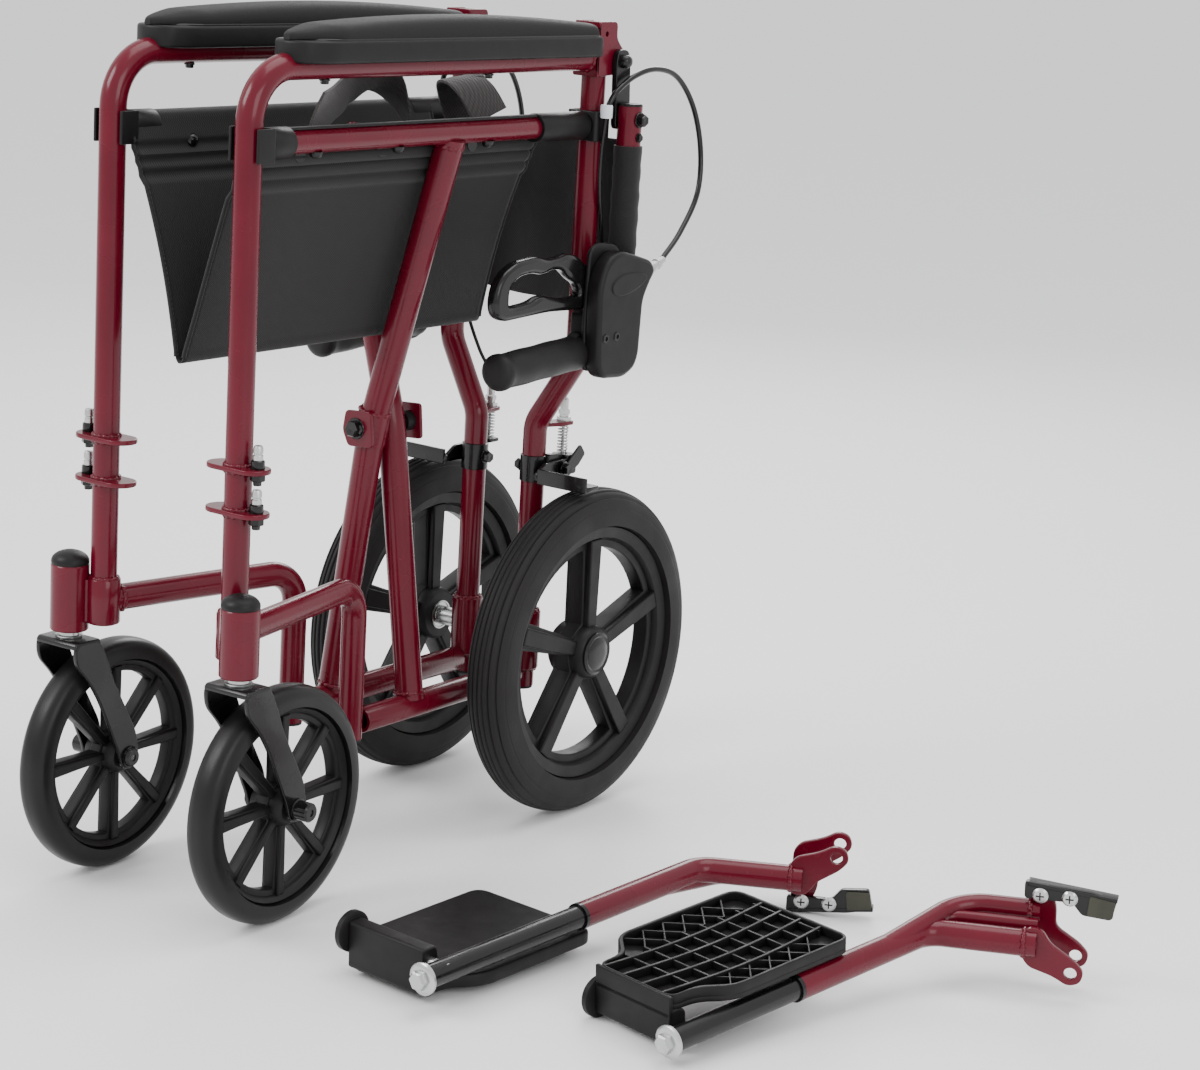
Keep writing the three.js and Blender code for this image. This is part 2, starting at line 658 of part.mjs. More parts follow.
// ---- Cross brace, seat rails and sling -----------------------------------------------------------
// Brace that turns on one lower rail and carries the opposite seat rail; `foot` is +1 when it stands
// on the left lower rail.
function brace(foot, y) {
  const top = v(-foot * FRAME_HALF, y, SEAT_RAIL_Z);
  const bottom = v(foot * LOWER_HALF, y, LOWER_RAIL_Z);
  const leg = bar(BRACE_R, [bottom, v(0, y, PIVOT_Z), top], [200], 14, 2);
  const onRail = (along) => v(bottom.x, along, bottom.z);
  const sleeve = pin(RAIL_SLEEVE_R, onRail(RAIL_SLEEVE_START_Y), onRail(RAIL_SLEEVE_END_Y), 14);
  const bore = pin(RAIL_STUB_R + RUN, onRail(RAIL_SLEEVE_START_Y - 9), onRail(RAIL_SLEEVE_END_Y + 9));
  const rail = pin(SEAT_RAIL_R + GAP, v(top.x, y - 40, top.z), v(top.x, y + 40, top.z), 20);
  const above = block(top.x - 40, top.x + 40, y - 40, y + 40, top.z, top.z + 60);
  const bolt = pin(PIVOT_BOLT_R + RUN, v(0, y - 20, PIVOT_Z), v(0, y + 20, PIVOT_Z));
  return cut(join(leg, sleeve), bore, rail, above, bolt);
}

// Bolt through both braces, with the two flanges of the bracket that holds them side by side
function bracePivot() {
  const front = BRACE_FRONT_Y - BRACE_R - GAP;
  const rear = BRACE_REAR_Y + BRACE_R + PIVOT_REAR_GAP;
  const half = PIVOT_FLANGE_HALF;
  const bolt = turned(
    [
      [0, front - PIVOT_FLANGE_T - PIVOT_HEAD_T],
      [PIVOT_HEAD_R, front - PIVOT_FLANGE_T - PIVOT_HEAD_T],
      [PIVOT_HEAD_R, front - 1],
      [PIVOT_BOLT_R, front - 1],
      [PIVOT_BOLT_R, rear + 1],
      [PIVOT_HEAD_R, rear + 1],
      [PIVOT_HEAD_R, rear + PIVOT_FLANGE_T + PIVOT_HEAD_T],
      [0, rear + PIVOT_FLANGE_T + PIVOT_HEAD_T],
    ],
    12,
    "y",
  ).translate(0, 0, PIVOT_Z);
  const low = PIVOT_Z - half;
  const high = PIVOT_Z + half;
  return join(
    bolt,
    block(-half, half, front - PIVOT_FLANGE_T, front, low, high),
    block(-half, half, rear, rear + PIVOT_FLANGE_T, low, high),
  );
}

function seatRail() {
  const rear = v(FRAME_HALF, SEAT_RAIL_REAR_Y, SEAT_RAIL_Z);
  return bar(SEAT_RAIL_R, [v(FRAME_HALF, SEAT_RAIL_FRONT_Y, SEAT_RAIL_Z), rear], [1], 14);
}

// C-shaped guide on a seat rail's end: `open` is -1 where it reaches forward round the front upright
function railGuide(uprightY, open, railEnd) {
  const half = TUBE_R + GUIDE_PLAY + GUIDE_WALL;
  const tip = uprightY + open * 2;
  const back = uprightY - open * (TUBE_R + GUIDE_WALL + 1);
  const body = block(
    FRAME_HALF - half,
    FRAME_HALF + half,
    Math.min(tip, back),
    Math.max(tip, back),
    SEAT_RAIL_Z - GUIDE_HEIGHT / 2,
    SEAT_RAIL_Z + GUIDE_HEIGHT / 2,
  );
  const low = SEAT_RAIL_Z - GUIDE_HEIGHT;
  const high = SEAT_RAIL_Z + GUIDE_HEIGHT;
  const slotHalf = TUBE_R + GUIDE_PLAY;
  const slot = block(
    FRAME_HALF - slotHalf,
    FRAME_HALF + slotHalf,
    Math.min(uprightY - open * (TUBE_R + 0.6), uprightY + open * 40),
    Math.max(uprightY - open * (TUBE_R + 0.6), uprightY + open * 40),
    low,
    high,
  );
  const neckFrom = back + open * 2;
  const neckTo = railEnd - open * GUIDE_NECK;
  const onRail = (y) => v(FRAME_HALF, y, SEAT_RAIL_Z);
  const neck = pin(SEAT_RAIL_R + GUIDE_WALL, onRail(neckFrom), onRail(neckTo), 14);
  const socket = pin(SEAT_RAIL_R + GAP, onRail(railEnd + open * GAP), onRail(neckTo - open * GUIDE_NECK), 20);
  return cut(join(cut(body, slot), neck), socket);
}

// Sling half, lying just inboard of the upper part of the brace that carries its seat rail
function slingHalf(from, to) {
  const lean = Math.atan2(FRAME_HALF, SEAT_RAIL_Z - PIVOT_Z);
  const down = v(-Math.sin(lean), 0, -Math.cos(lean));
  const inboard = v(-Math.cos(lean), 0, Math.sin(lean));
  const start = v(FRAME_HALF, 0, SEAT_RAIL_Z).addScaledVector(inboard, SLING_OFF);
  const corner = (along, across) => {
    const point = start.clone().addScaledVector(down, along).addScaledVector(inboard, across);
    return [point.z, point.x];
  };
  const outline = [corner(from, 0), corner(to, 0), corner(to, SLING_T), corner(from, SLING_T)];
  return plate(outline, SLING_REAR_Y - SLING_FRONT_Y, "y", (SLING_REAR_Y + SLING_FRONT_Y) / 2);
}

// ---- Folding back --------------------------------------------------------------------------------
const handleZ = (y) => HANDLE_Z + HANDLE_SLOPE * (y - CANE_Y);

function backCane() {
  const handleEnd = v(CANE_X, HANDLE_END_Y, handleZ(HANDLE_END_Y));
  const line = [v(CANE_X, CANE_Y, CANE_TOP_Z), v(CANE_X, CANE_Y, HANDLE_Z), handleEnd];
  const tube = bar(TUBE_R, line, [CANE_BEND_R], 14, 6);
  const strapX = FRAME_HALF + TUBE_R + 2 * GAP + BRACKET_WALL + HINGE_STRAP_T / 2;
  const strap = new THREE.Shape();
  strap.moveTo(HINGE_Y - HINGE_STRAP_HALF, HINGE_Z);
  strap.absarc(HINGE_Y, HINGE_Z, HINGE_STRAP_HALF, Math.PI, 0, true);
  strap.lineTo(CANE_Y + HINGE_STRAP_HALF, CANE_TOP_Z - 20);
  strap.lineTo(CANE_Y - HINGE_STRAP_HALF, CANE_TOP_Z - 20);
  const eye = pin(HINGE_PIN_R + RUN, v(FRAME_HALF, HINGE_Y, HINGE_Z), v(CANE_X + 20, HINGE_Y, HINGE_Z));
  return join(tube, cut(plate(strap, HINGE_STRAP_T, "x", strapX), eye));
}

function pushGrip() {
  const along = v(0, 1, HANDLE_SLOPE).normalize();
  const root = v(CANE_X, GRIP_ROOT_Y, handleZ(GRIP_ROOT_Y));
  const end = v(CANE_X, GRIP_END_Y, handleZ(GRIP_END_Y));
  const mouth = root.clone().addScaledVector(along, 5);
  const floor = v(CANE_X, HANDLE_END_Y - GAP, handleZ(HANDLE_END_Y - GAP));
  return cut(pin(GRIP_R, end, root, 18), pin(TUBE_R + GAP, floor, mouth, 28));
}

function backPanel() {
  return block(BACK_MIDDLE_GAP, BACK_HALF, BACK_Y - BACK_T / 2, BACK_Y + BACK_T / 2, BACK_LOW_Z, BACK_TOP_Z);
}

function brakeHousing() {
  const outline = new THREE.Shape();
  outline.moveTo(257, 452);
  outline.lineTo(255, 505);
  outline.quadraticCurveTo(262, 532, 287, 538);
  outline.lineTo(334, 526);
  outline.lineTo(341, 516);
  outline.lineTo(324, 490);
  outline.lineTo(322, 440);
  outline.quadraticCurveTo(318, 424, 300, 421);
  outline.lineTo(268, 423);
  const middle = (HOUSING_IN_X + HOUSING_OUT_X) / 2;
  const onHandle = (y) => v(CANE_X, y, handleZ(y));
  const grip = pin(GRIP_R + GAP, onHandle(GRIP_END_Y), onHandle(GRIP_ROOT_Y + 2), 24);
  const onPivot = (x) => v(x, LEVER_PIVOT_Y, LEVER_PIVOT_Z);
  const pivot = pin(LEVER_PIN_R, onPivot(LEVER_X - LEVER_T / 2 - 2), onPivot(HOUSING_IN_X + 2), 10);
  return join(cut(plate(outline, HOUSING_OUT_X - HOUSING_IN_X, "x", middle), grip), pivot);
}

// Loop lever: a closed finger loop ahead of its pivot
function brakeLever() {
  const outer = new THREE.Shape();
  outer.moveTo(LEVER_PIVOT_Y + 8, LEVER_PIVOT_Z + 6);
  outer.lineTo(253, 531);
  outer.quadraticCurveTo(215, 540, 180, 534);
  outer.quadraticCurveTo(134, 538, 131, 500);
  outer.quadraticCurveTo(131, 487, 146, 486);
  outer.lineTo(262, 484);
  outer.lineTo(LEVER_PIVOT_Y + 8, LEVER_PIVOT_Z - 8);
  const inner = new THREE.Path();
  inner.moveTo(150, 497);
  inner.lineTo(258, 495);
  inner.lineTo(262, 518);
  inner.quadraticCurveTo(215, 527, 182, 522);
  inner.quadraticCurveTo(146, 526, 144, 503);
  const eye = new THREE.Path();
  eye.absarc(LEVER_PIVOT_Y, LEVER_PIVOT_Z, LEVER_PIN_R + RUN, 0, 2 * Math.PI, false);
  outer.holes.push(inner, eye);
  return plate(outer, LEVER_T, "x", LEVER_X);
}

const CABLE_ROUTE = [
  [CANE_X + 20, 342.5, 517],
  [CANE_X + 18, 362, 524],
  [CANE_X + 13, 398, 546],
  [CANE_X + 8, 430, 580],
  [CANE_X + 3, 438, 620],
  [CANE_X + 1, 424, 660],
  [CANE_X, 396, 688],
  [CANE_X - 0.5, 362, 696],
  [CANE_X - 2, 330, 690],
  [CANE_X - 4, 306, 676],
  [CANE_X - 8, 297, 655],
  [CANE_X - 10, 297, 625],
  [CANE_X - 12, 300, 590],
  [CANE_X - 16, 313, 545],
  [CANE_X - 20, 322, 500],
  [FRAME_HALF - 0.5, 324, 455],
  [LOWER_HALF + 23, 326, 418],
  [LOWER_HALF + 11, 329, 394],
  [TAB_X, TAB_Y, TAB_Z + 3],
];

function brakeCable() {
  const curve = new THREE.CatmullRomCurve3(CABLE_ROUTE.map(([x, y, z]) => v(x, y, z)), false, "centripetal");
  return new THREE.ExtrudeGeometry(ring(CABLE_R, 8), { steps: 48, extrudePath: curve, bevelEnabled: false });
}

function brakeArm() {
  const inner = BRAKE_BAR_X - BRAKE_BAR_T / 2;
  const outer = BRAKE_BAR_X + BRAKE_BAR_T / 2;
  const shoeLow = 2 * WHEEL_R + BRAKE_GAP;
  const side = block(inner, outer, 276, 338, shoeLow, BRAKE_PIVOT_Z + 7);
  const shoe = block(inner, WHEEL_X + WHEEL_HALF_W, 276, 296, shoeLow, shoeLow + BRAKE_BAR_T);
  const pull = block(TAB_X - 7, outer, TAB_Y - 8, TAB_Y + 8, BRAKE_PIVOT_Z + 9, BRAKE_PIVOT_Z + 12);
  const riser = block(inner, outer, TAB_Y - 8, TAB_Y + 8, BRAKE_PIVOT_Z, BRAKE_PIVOT_Z + 12);
  const onPivot = (x) => v(x, BRAKE_PIVOT_Y, BRAKE_PIVOT_Z);
  const hole = pin(BRAKE_PIN_R + RUN, onPivot(0), onPivot(WHEEL_X));
  return cut(join(side, shoe, riser, pull), hole);
}

// ---- Legrest, drawn with its leg tube along +Y from the foot end; +Z is the side its plate lies on
function legrest(side) {
  const group = new THREE.Group();
  const shown = LEG_OUT[side];
  const bend = shown + LEG_LENGTH;
  const turn = degrees(HANGER_BEND);
  const along = v(Math.sin(turn), Math.cos(turn), 0);
  const across = v(-Math.cos(turn), Math.sin(turn), 0);
  const at = (s, n, w) => v(0, bend, w).addScaledVector(along, s).addScaledVector(across, n);

  const legLine = [v(0, shown, 0), v(0, bend, 0), at(MEMBER_LENGTH, 0, 0)];
  const legTube = bar(TUBE_R, legLine, [HANGER_BEND_R], 14, 4);
  const bore = pin(EXTENSION_R + RUN, v(0, shown - 5, 0), v(0, shown + HANGER_BORE_DEPTH, 0), 18);
  const upperStart = v(0, bend - 46, 7);
  const upperCorner = at(22, PEG_PLATE_PITCH, MEMBER_RISE);
  const upperEnd = at(MEMBER_LENGTH, PEG_PLATE_PITCH, MEMBER_RISE);
  const upper = bar(MEMBER_R, [upperStart, upperCorner, upperEnd], [44], 12, 4);
  const tie = bar(MEMBER_R * 0.6, [at(14, 4, 8), at(MEMBER_LENGTH, 8, 9)], [1], 10);

  const ear = (withLatch) => {
    const shape = new THREE.Shape();
    shape.moveTo(MEMBER_LENGTH - 10, withLatch ? 38 : 14);
    shape.lineTo(MEMBER_LENGTH + 6, withLatch ? 38 : 14);
    shape.lineTo(MEMBER_LENGTH + 12, 0);
    shape.lineTo(EAR_OUT + 3, -EAR_DOWN + EAR_R);
    shape.absarc(EAR_OUT, -EAR_DOWN, EAR_R, Math.PI / 2, -Math.PI / 2 - 0.7, true);
    shape.lineTo(MEMBER_LENGTH - 4, -20);
    shape.lineTo(MEMBER_LENGTH - 12, -12);
    const hole = new THREE.Path();
    hole.absarc(EAR_OUT, -EAR_DOWN, EAR_HOLE_R, 0, 2 * Math.PI, false);
    shape.holes.push(hole);
    return shape;
  };
  const standing = (shape, n, thickness) => {
    const options = { depth: thickness, bevelEnabled: false, curveSegments: 7 };
    const geometry = new THREE.ExtrudeGeometry(shape, options);
    geometry.translate(0, 0, -thickness / 2);
    const basis = new THREE.Matrix4().makeBasis(along, v(0, 0, 1), across.clone().negate());
    const origin = at(0, n, 0);
    return geometry.applyMatrix4(basis.setPosition(origin.x, origin.y, origin.z));
  };
  const latchN = PEG_PLATE_PITCH - EAR_T / 2 - GAP - LATCH_T / 2;
  const onLatch = (n) => at(MEMBER_LENGTH, n, LATCH_W);
  const latchPin = pin(LATCH_PIN_R, onLatch(PEG_PLATE_PITCH), onLatch(latchN - LATCH_T / 2 - 3), 10);
  const hanger = join(
    cut(legTube, bore),
    upper,
    tie,
    standing(ear(false), 0, EAR_T),
    standing(ear(true), PEG_PLATE_PITCH, EAR_T),
    latchPin,
  );
  place(group, `legrest_hanger_${side}`, hanger, CRIMSON);

  const hook = new THREE.Shape();
  hook.moveTo(MEMBER_LENGTH - 13, 27);
  hook.lineTo(MEMBER_LENGTH + 26, 27);
  hook.lineTo(MEMBER_LENGTH + 34, 17);
  hook.lineTo(MEMBER_LENGTH + 58, 15);
  hook.lineTo(MEMBER_LENGTH + 62, 33);
  hook.lineTo(MEMBER_LENGTH - 13, 42);
  const latchHole = new THREE.Path();
  latchHole.absarc(MEMBER_LENGTH, LATCH_W, LATCH_PIN_R + RUN, 0, 2 * Math.PI, false);
  hook.holes.push(latchHole);
  place(group, `legrest_latch_${side}`, standing(hook, latchN, LATCH_T), BLACK_STEEL);

  const heelOuter = -HEEL_CLEAR - HEEL_WIDTH;
  const pinW = -HEEL_DROP + 11;
  const tubeEnd = shown + EXTENSION_INSIDE;
  const extension = join(
    pin(EXTENSION_R, v(0, 2, 0), v(0, tubeEnd, 0), 18),
    pin(STOP_R, v(0, -7, 0), v(0, 2.5, 0), 14),
    pin(FOOT_PIN_R, v(0, FOOT_PIN_Y, pinW), v(heelOuter - 5, FOOT_PIN_Y, pinW), 10),
    pin(BUMPER_R, v(heelOuter - 9, FOOT_PIN_Y, pinW), v(heelOuter - 1, FOOT_PIN_Y, pinW), 18),
  );
  place(group, `legrest_extension_${side}`, extension, BLACK_STEEL);

  const left = PLATE_OVER - PLATE_WIDTH;
  const corner = 16;
  const rootY = HEEL_Y + HEEL_T;
  const tipY = rootY + PLATE_LENGTH;
  const tread = new THREE.Shape();
  tread.moveTo(heelOuter, HEEL_Y + 2);
  tread.lineTo(-HEEL_CLEAR, HEEL_Y + 2);
  tread.lineTo(-HEEL_CLEAR, rootY + 12);
  tread.lineTo(PLATE_OVER, rootY + 34);
  tread.lineTo(PLATE_OVER, tipY - corner);
  tread.quadraticCurveTo(PLATE_OVER, tipY, PLATE_OVER - corner, tipY);
  tread.lineTo(left + corner, tipY);
  tread.quadraticCurveTo(left, tipY, left, tipY - corner);
  tread.lineTo(left, rootY + 34);
  const heel = block(heelOuter, -HEEL_CLEAR, HEEL_Y, rootY, -HEEL_DROP, PLATE_RISE + PLATE_T);
  const eye = pin(FOOT_PIN_R + RUN, v(5, FOOT_PIN_Y, pinW), v(heelOuter - 9, FOOT_PIN_Y, pinW), 12);
  const footplate = cut(join(heel, plate(tread, PLATE_T, "z", PLATE_RISE + PLATE_T / 2)), eye);
  place(group, `footplate_${side}`, footplate, BLACK_PLASTIC);
  return group;
}

// A legrest is laid on the floor: turned, tilted, then set down until its lowest point touches.
function laidOnFloor(side) {
  const spot = LEGREST_PLACE[side];
  const piece = legrest(side);
  const turnedOver = new THREE.Group();
  if (side === "right") piece.scale.z = -1;
  turnedOver.add(piece);
  piece.rotation.x = degrees(spot.tilt);
  turnedOver.rotation.z = degrees(spot.heading);
  turnedOver.position.set(spot.x, spot.y, 0);
  turnedOver.updateMatrixWorld(true);
  turnedOver.position.z = -new THREE.Box3().setFromObject(turnedOver, true).min.z;
  return turnedOver;
}

// ---- Assembly ------------------------------------------------------------------------------------
function chairSide(side) {
  const group = new THREE.Group();
  if (side === "right") group.scale.x = -1;
  place(group, `front_upright_${side}`, frontUpright(), CRIMSON);
  place(group, `lower_front_tube_${side}`, lowerFrontTube(), CRIMSON);
  place(group, `rear_post_${side}`, rearPost(), CRIMSON);
  place(group, `hinge_bracket_${side}`, hingeBracket(), CRIMSON);
  armrest(group, side);
  group.add(rearWheel(side));
  place(group, `rear_axle_${side}`, rearAxle(), ZINC);
  group.add(castor(side));
  place(group, `seat_rail_${side}`, seatRail(), CRIMSON);
  place(group, `rail_guide_front_${side}`, railGuide(FRONT_Y, -1, SEAT_RAIL_FRONT_Y), BLACK_PLASTIC);
  place(group, `rail_guide_rear_${side}`, railGuide(REAR_Y, 1, SEAT_RAIL_REAR_Y), BLACK_PLASTIC);
  place(group, `seat_sling_${side}`, slingHalf(4, SLING_LENGTH), BLACK_FABRIC);
  const innerFrom = SLING_LENGTH + 1;
  const inner = slingHalf(innerFrom, innerFrom + SLING_INNER_LENGTH);
  place(group, `seat_sling_inner_${side}`, inner, BLACK_FABRIC);
  place(group, `back_cane_${side}`, backCane(), CRIMSON);
  place(group, `push_grip_${side}`, pushGrip(), GRIP_RUBBER);
  place(group, `back_panel_${side}`, backPanel(), BLACK_FABRIC);
  place(group, `brake_housing_${side}`, brakeHousing(), BLACK_PLASTIC);
  place(group, `brake_lever_${side}`, brakeLever(), BLACK_PLASTIC);
  place(group, `brake_cable_${side}`, brakeCable(), BLACK_PLASTIC);
  place(group, `brake_arm_${side}`, brakeArm(), BLACK_STEEL);
  return group;
}

const group = new THREE.Group();
for (const side of ["left", "right"]) {
  group.add(chairSide(side));
  group.add(laidOnFloor(side));
}
place(group, "cross_brace_left", brace(1, BRACE_REAR_Y), CRIMSON);
place(group, "cross_brace_right", brace(-1, BRACE_FRONT_Y), CRIMSON);
place(group, "brace_pivot", bracePivot(), CRIMSON);
group.updateMatrixWorld(true);
const floor = new THREE.Box3().setFromObject(group, true);
group.position.set(-(floor.min.x + floor.max.x) / 2, -(floor.min.y + floor.max.y) / 2, -floor.min.z);
group.updateMatrixWorld(true);

export default group;
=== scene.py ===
"""Looks of a folded transport wheelchair and its two detached legrests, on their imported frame.

Lengths in the size classes are millimetres in the chair's own frame: x = 0 is its centre plane, +X the
sitter's left, -Y the front and z = 0 the floor. `Place` turns them into metres in the row frame.
"""

import logging
import math
from dataclasses import dataclass
from enum import Enum

import bpy
import numpy as np
from mathutils import Matrix, Vector

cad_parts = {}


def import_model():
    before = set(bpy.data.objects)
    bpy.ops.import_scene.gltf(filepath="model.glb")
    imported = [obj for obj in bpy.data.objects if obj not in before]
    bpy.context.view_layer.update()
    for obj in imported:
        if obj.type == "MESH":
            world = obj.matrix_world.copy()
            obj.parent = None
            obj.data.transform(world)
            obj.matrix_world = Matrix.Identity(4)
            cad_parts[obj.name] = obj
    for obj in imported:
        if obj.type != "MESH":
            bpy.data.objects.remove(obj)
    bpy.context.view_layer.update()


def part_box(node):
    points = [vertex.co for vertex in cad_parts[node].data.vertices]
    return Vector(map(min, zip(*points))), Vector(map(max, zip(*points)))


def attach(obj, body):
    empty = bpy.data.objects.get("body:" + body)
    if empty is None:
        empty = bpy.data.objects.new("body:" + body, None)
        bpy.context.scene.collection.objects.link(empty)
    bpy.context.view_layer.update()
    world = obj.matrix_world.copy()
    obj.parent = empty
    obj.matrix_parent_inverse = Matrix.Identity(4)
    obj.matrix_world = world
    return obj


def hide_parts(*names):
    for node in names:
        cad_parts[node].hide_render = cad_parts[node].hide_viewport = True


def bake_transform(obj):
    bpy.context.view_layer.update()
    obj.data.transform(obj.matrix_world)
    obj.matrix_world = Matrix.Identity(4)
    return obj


logging.basicConfig(level=logging.INFO, format="%(message)s")
LOG = logging.getLogger("wheelchair")

MM = 0.001
Point = tuple[float, float, float]
Pair = tuple[float, float]


class Side(Enum):
    """Which side of the chair a piece belongs to; the value mirrors x."""

    LEFT = 1
    RIGHT = -1

    @property
    def word(self) -> str:
        """Name used in piece and body names."""
        return self.name.lower()


@dataclass(frozen=True)
class Place:
    """Where the chair's own frame sits in the row frame, in metres."""

    x: float
    y: float

    @classmethod
    def of_chair(cls, axle_y: float) -> "Place":
        """Finds the chair in the row frame from its two rear axles.

        Args:
            axle_y: where the axles are along the chair, in its own millimetres.

        Returns:
            The chair's place.
        """
        lows, highs = zip(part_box("rear_axle_left"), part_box("rear_axle_right"))
        middle = (min(low.x for low in lows) + max(high.x for high in highs)) / 2
        return cls(middle, (lows[0].y + highs[0].y) / 2 - axle_y * MM)

    def matrix(self) -> Matrix:
        """Returns the matrix from chair millimetres to row metres."""
        return Matrix.Translation((self.x, self.y, 0.0)) @ Matrix.Scale(MM, 4)


# ---- Finishes ------------------------------------------------------------------------------------
@dataclass(frozen=True)
class Finish:
    """A surface: its two tones, gloss, and the relief that breaks it up.

    `relief` names one of the shared effects, `pitch` is the size of its grain in millimetres and
    `depth` the strength of the bump.
    """

    name: str
    tone: tuple[float, float, float]
    shade: tuple[float, float, float]
    roughness: Pair
    relief: str
    pitch: float
    depth: float
    metallic: float = 0.0
    coat: float = 0.0
    sheen: float = 0.0

    @property
    def specular(self) -> float:
        """How much light the skin throws back: little on black skins, more on enamel, most on metal."""
        if max(self.tone) < 0.03:
            return 0.24
        return 0.22 if self.coat else 0.5


class Finishes:
    """The finishes used on the chair."""

    CRIMSON = Finish(
        "crimson_coat", (0.118, 0.0010, 0.0118), (0.078, 0.0006, 0.0078), (0.2, 0.32), "peel", 2.6, 0.02, 0.0, 0.2
    )
    BLACK_COAT = Finish(
        "black_coat", (0.0065, 0.006, 0.0065), (0.003, 0.003, 0.003), (0.2, 0.34), "peel", 2.2, 0.07, 0.0, 0.25
    )
    PLASTIC = Finish(
        "grained_plastic", (0.0085, 0.0072, 0.0078), (0.004, 0.0036, 0.0038), (0.4, 0.55), "grain", 0.9, 0.18
    )
    SMOOTH = Finish(
        "smooth_plastic", (0.007, 0.0062, 0.0066), (0.0035, 0.0034, 0.0034), (0.16, 0.3), "peel", 4.0, 0.05, 0.0, 0.25
    )
    RUBBER = Finish("grip_rubber", (0.012, 0.0105, 0.011), (0.006, 0.0055, 0.0055), (0.45, 0.6), "grain", 1.3, 0.25)
    TYRE = Finish("tyre_rubber", (0.0135, 0.0118, 0.012), (0.0075, 0.0068, 0.007), (0.5, 0.68), "grain", 1.8, 0.2)
    TYRE_GLOSSY = Finish(
        "castor_rubber", (0.0085, 0.0078, 0.0082), (0.005, 0.0046, 0.0048), (0.3, 0.42), "grain", 1.6, 0.12
    )
    # Woven: tone is painted sheen on the thread crests, shade is painted shade in the dips
    FABRIC = Finish(
        "woven_nylon", (0.0165, 0.0150, 0.0160), (0.0025, 0.0024, 0.0026), (0.62, 0.85), "weave", 1.3, 0.7, 0.0, 0.0, 0.12
    )
    # Woven: tone is painted sheen on the thread crests, shade is painted shade in the dips
    WEBBING = Finish(
        "belt_webbing", (0.062, 0.054, 0.055), (0.012, 0.010, 0.010), (0.7, 0.9), "weave", 1.9, 0.8, 0.0, 0.0, 0.15
    )
    FOAM = Finish("pad_foam", (0.0155, 0.0142, 0.015), (0.0045, 0.0042, 0.0045), (0.55, 0.8), "pores", 1.2, 0.6)
    ZINC = Finish("bright_zinc", (0.62, 0.63, 0.62), (0.42, 0.43, 0.43), (0.2, 0.42), "peel", 1.6, 0.1, 1.0)
    STEEL_DARK = Finish(
        "worn_steel", (0.075, 0.075, 0.055), (0.02, 0.02, 0.016), (0.3, 0.55), "grain", 1.2, 0.15, 0.6
    )
    WHITE = Finish("white_nylon", (0.72, 0.74, 0.80), (0.55, 0.57, 0.62), (0.35, 0.5), "grain", 1.2, 0.06)


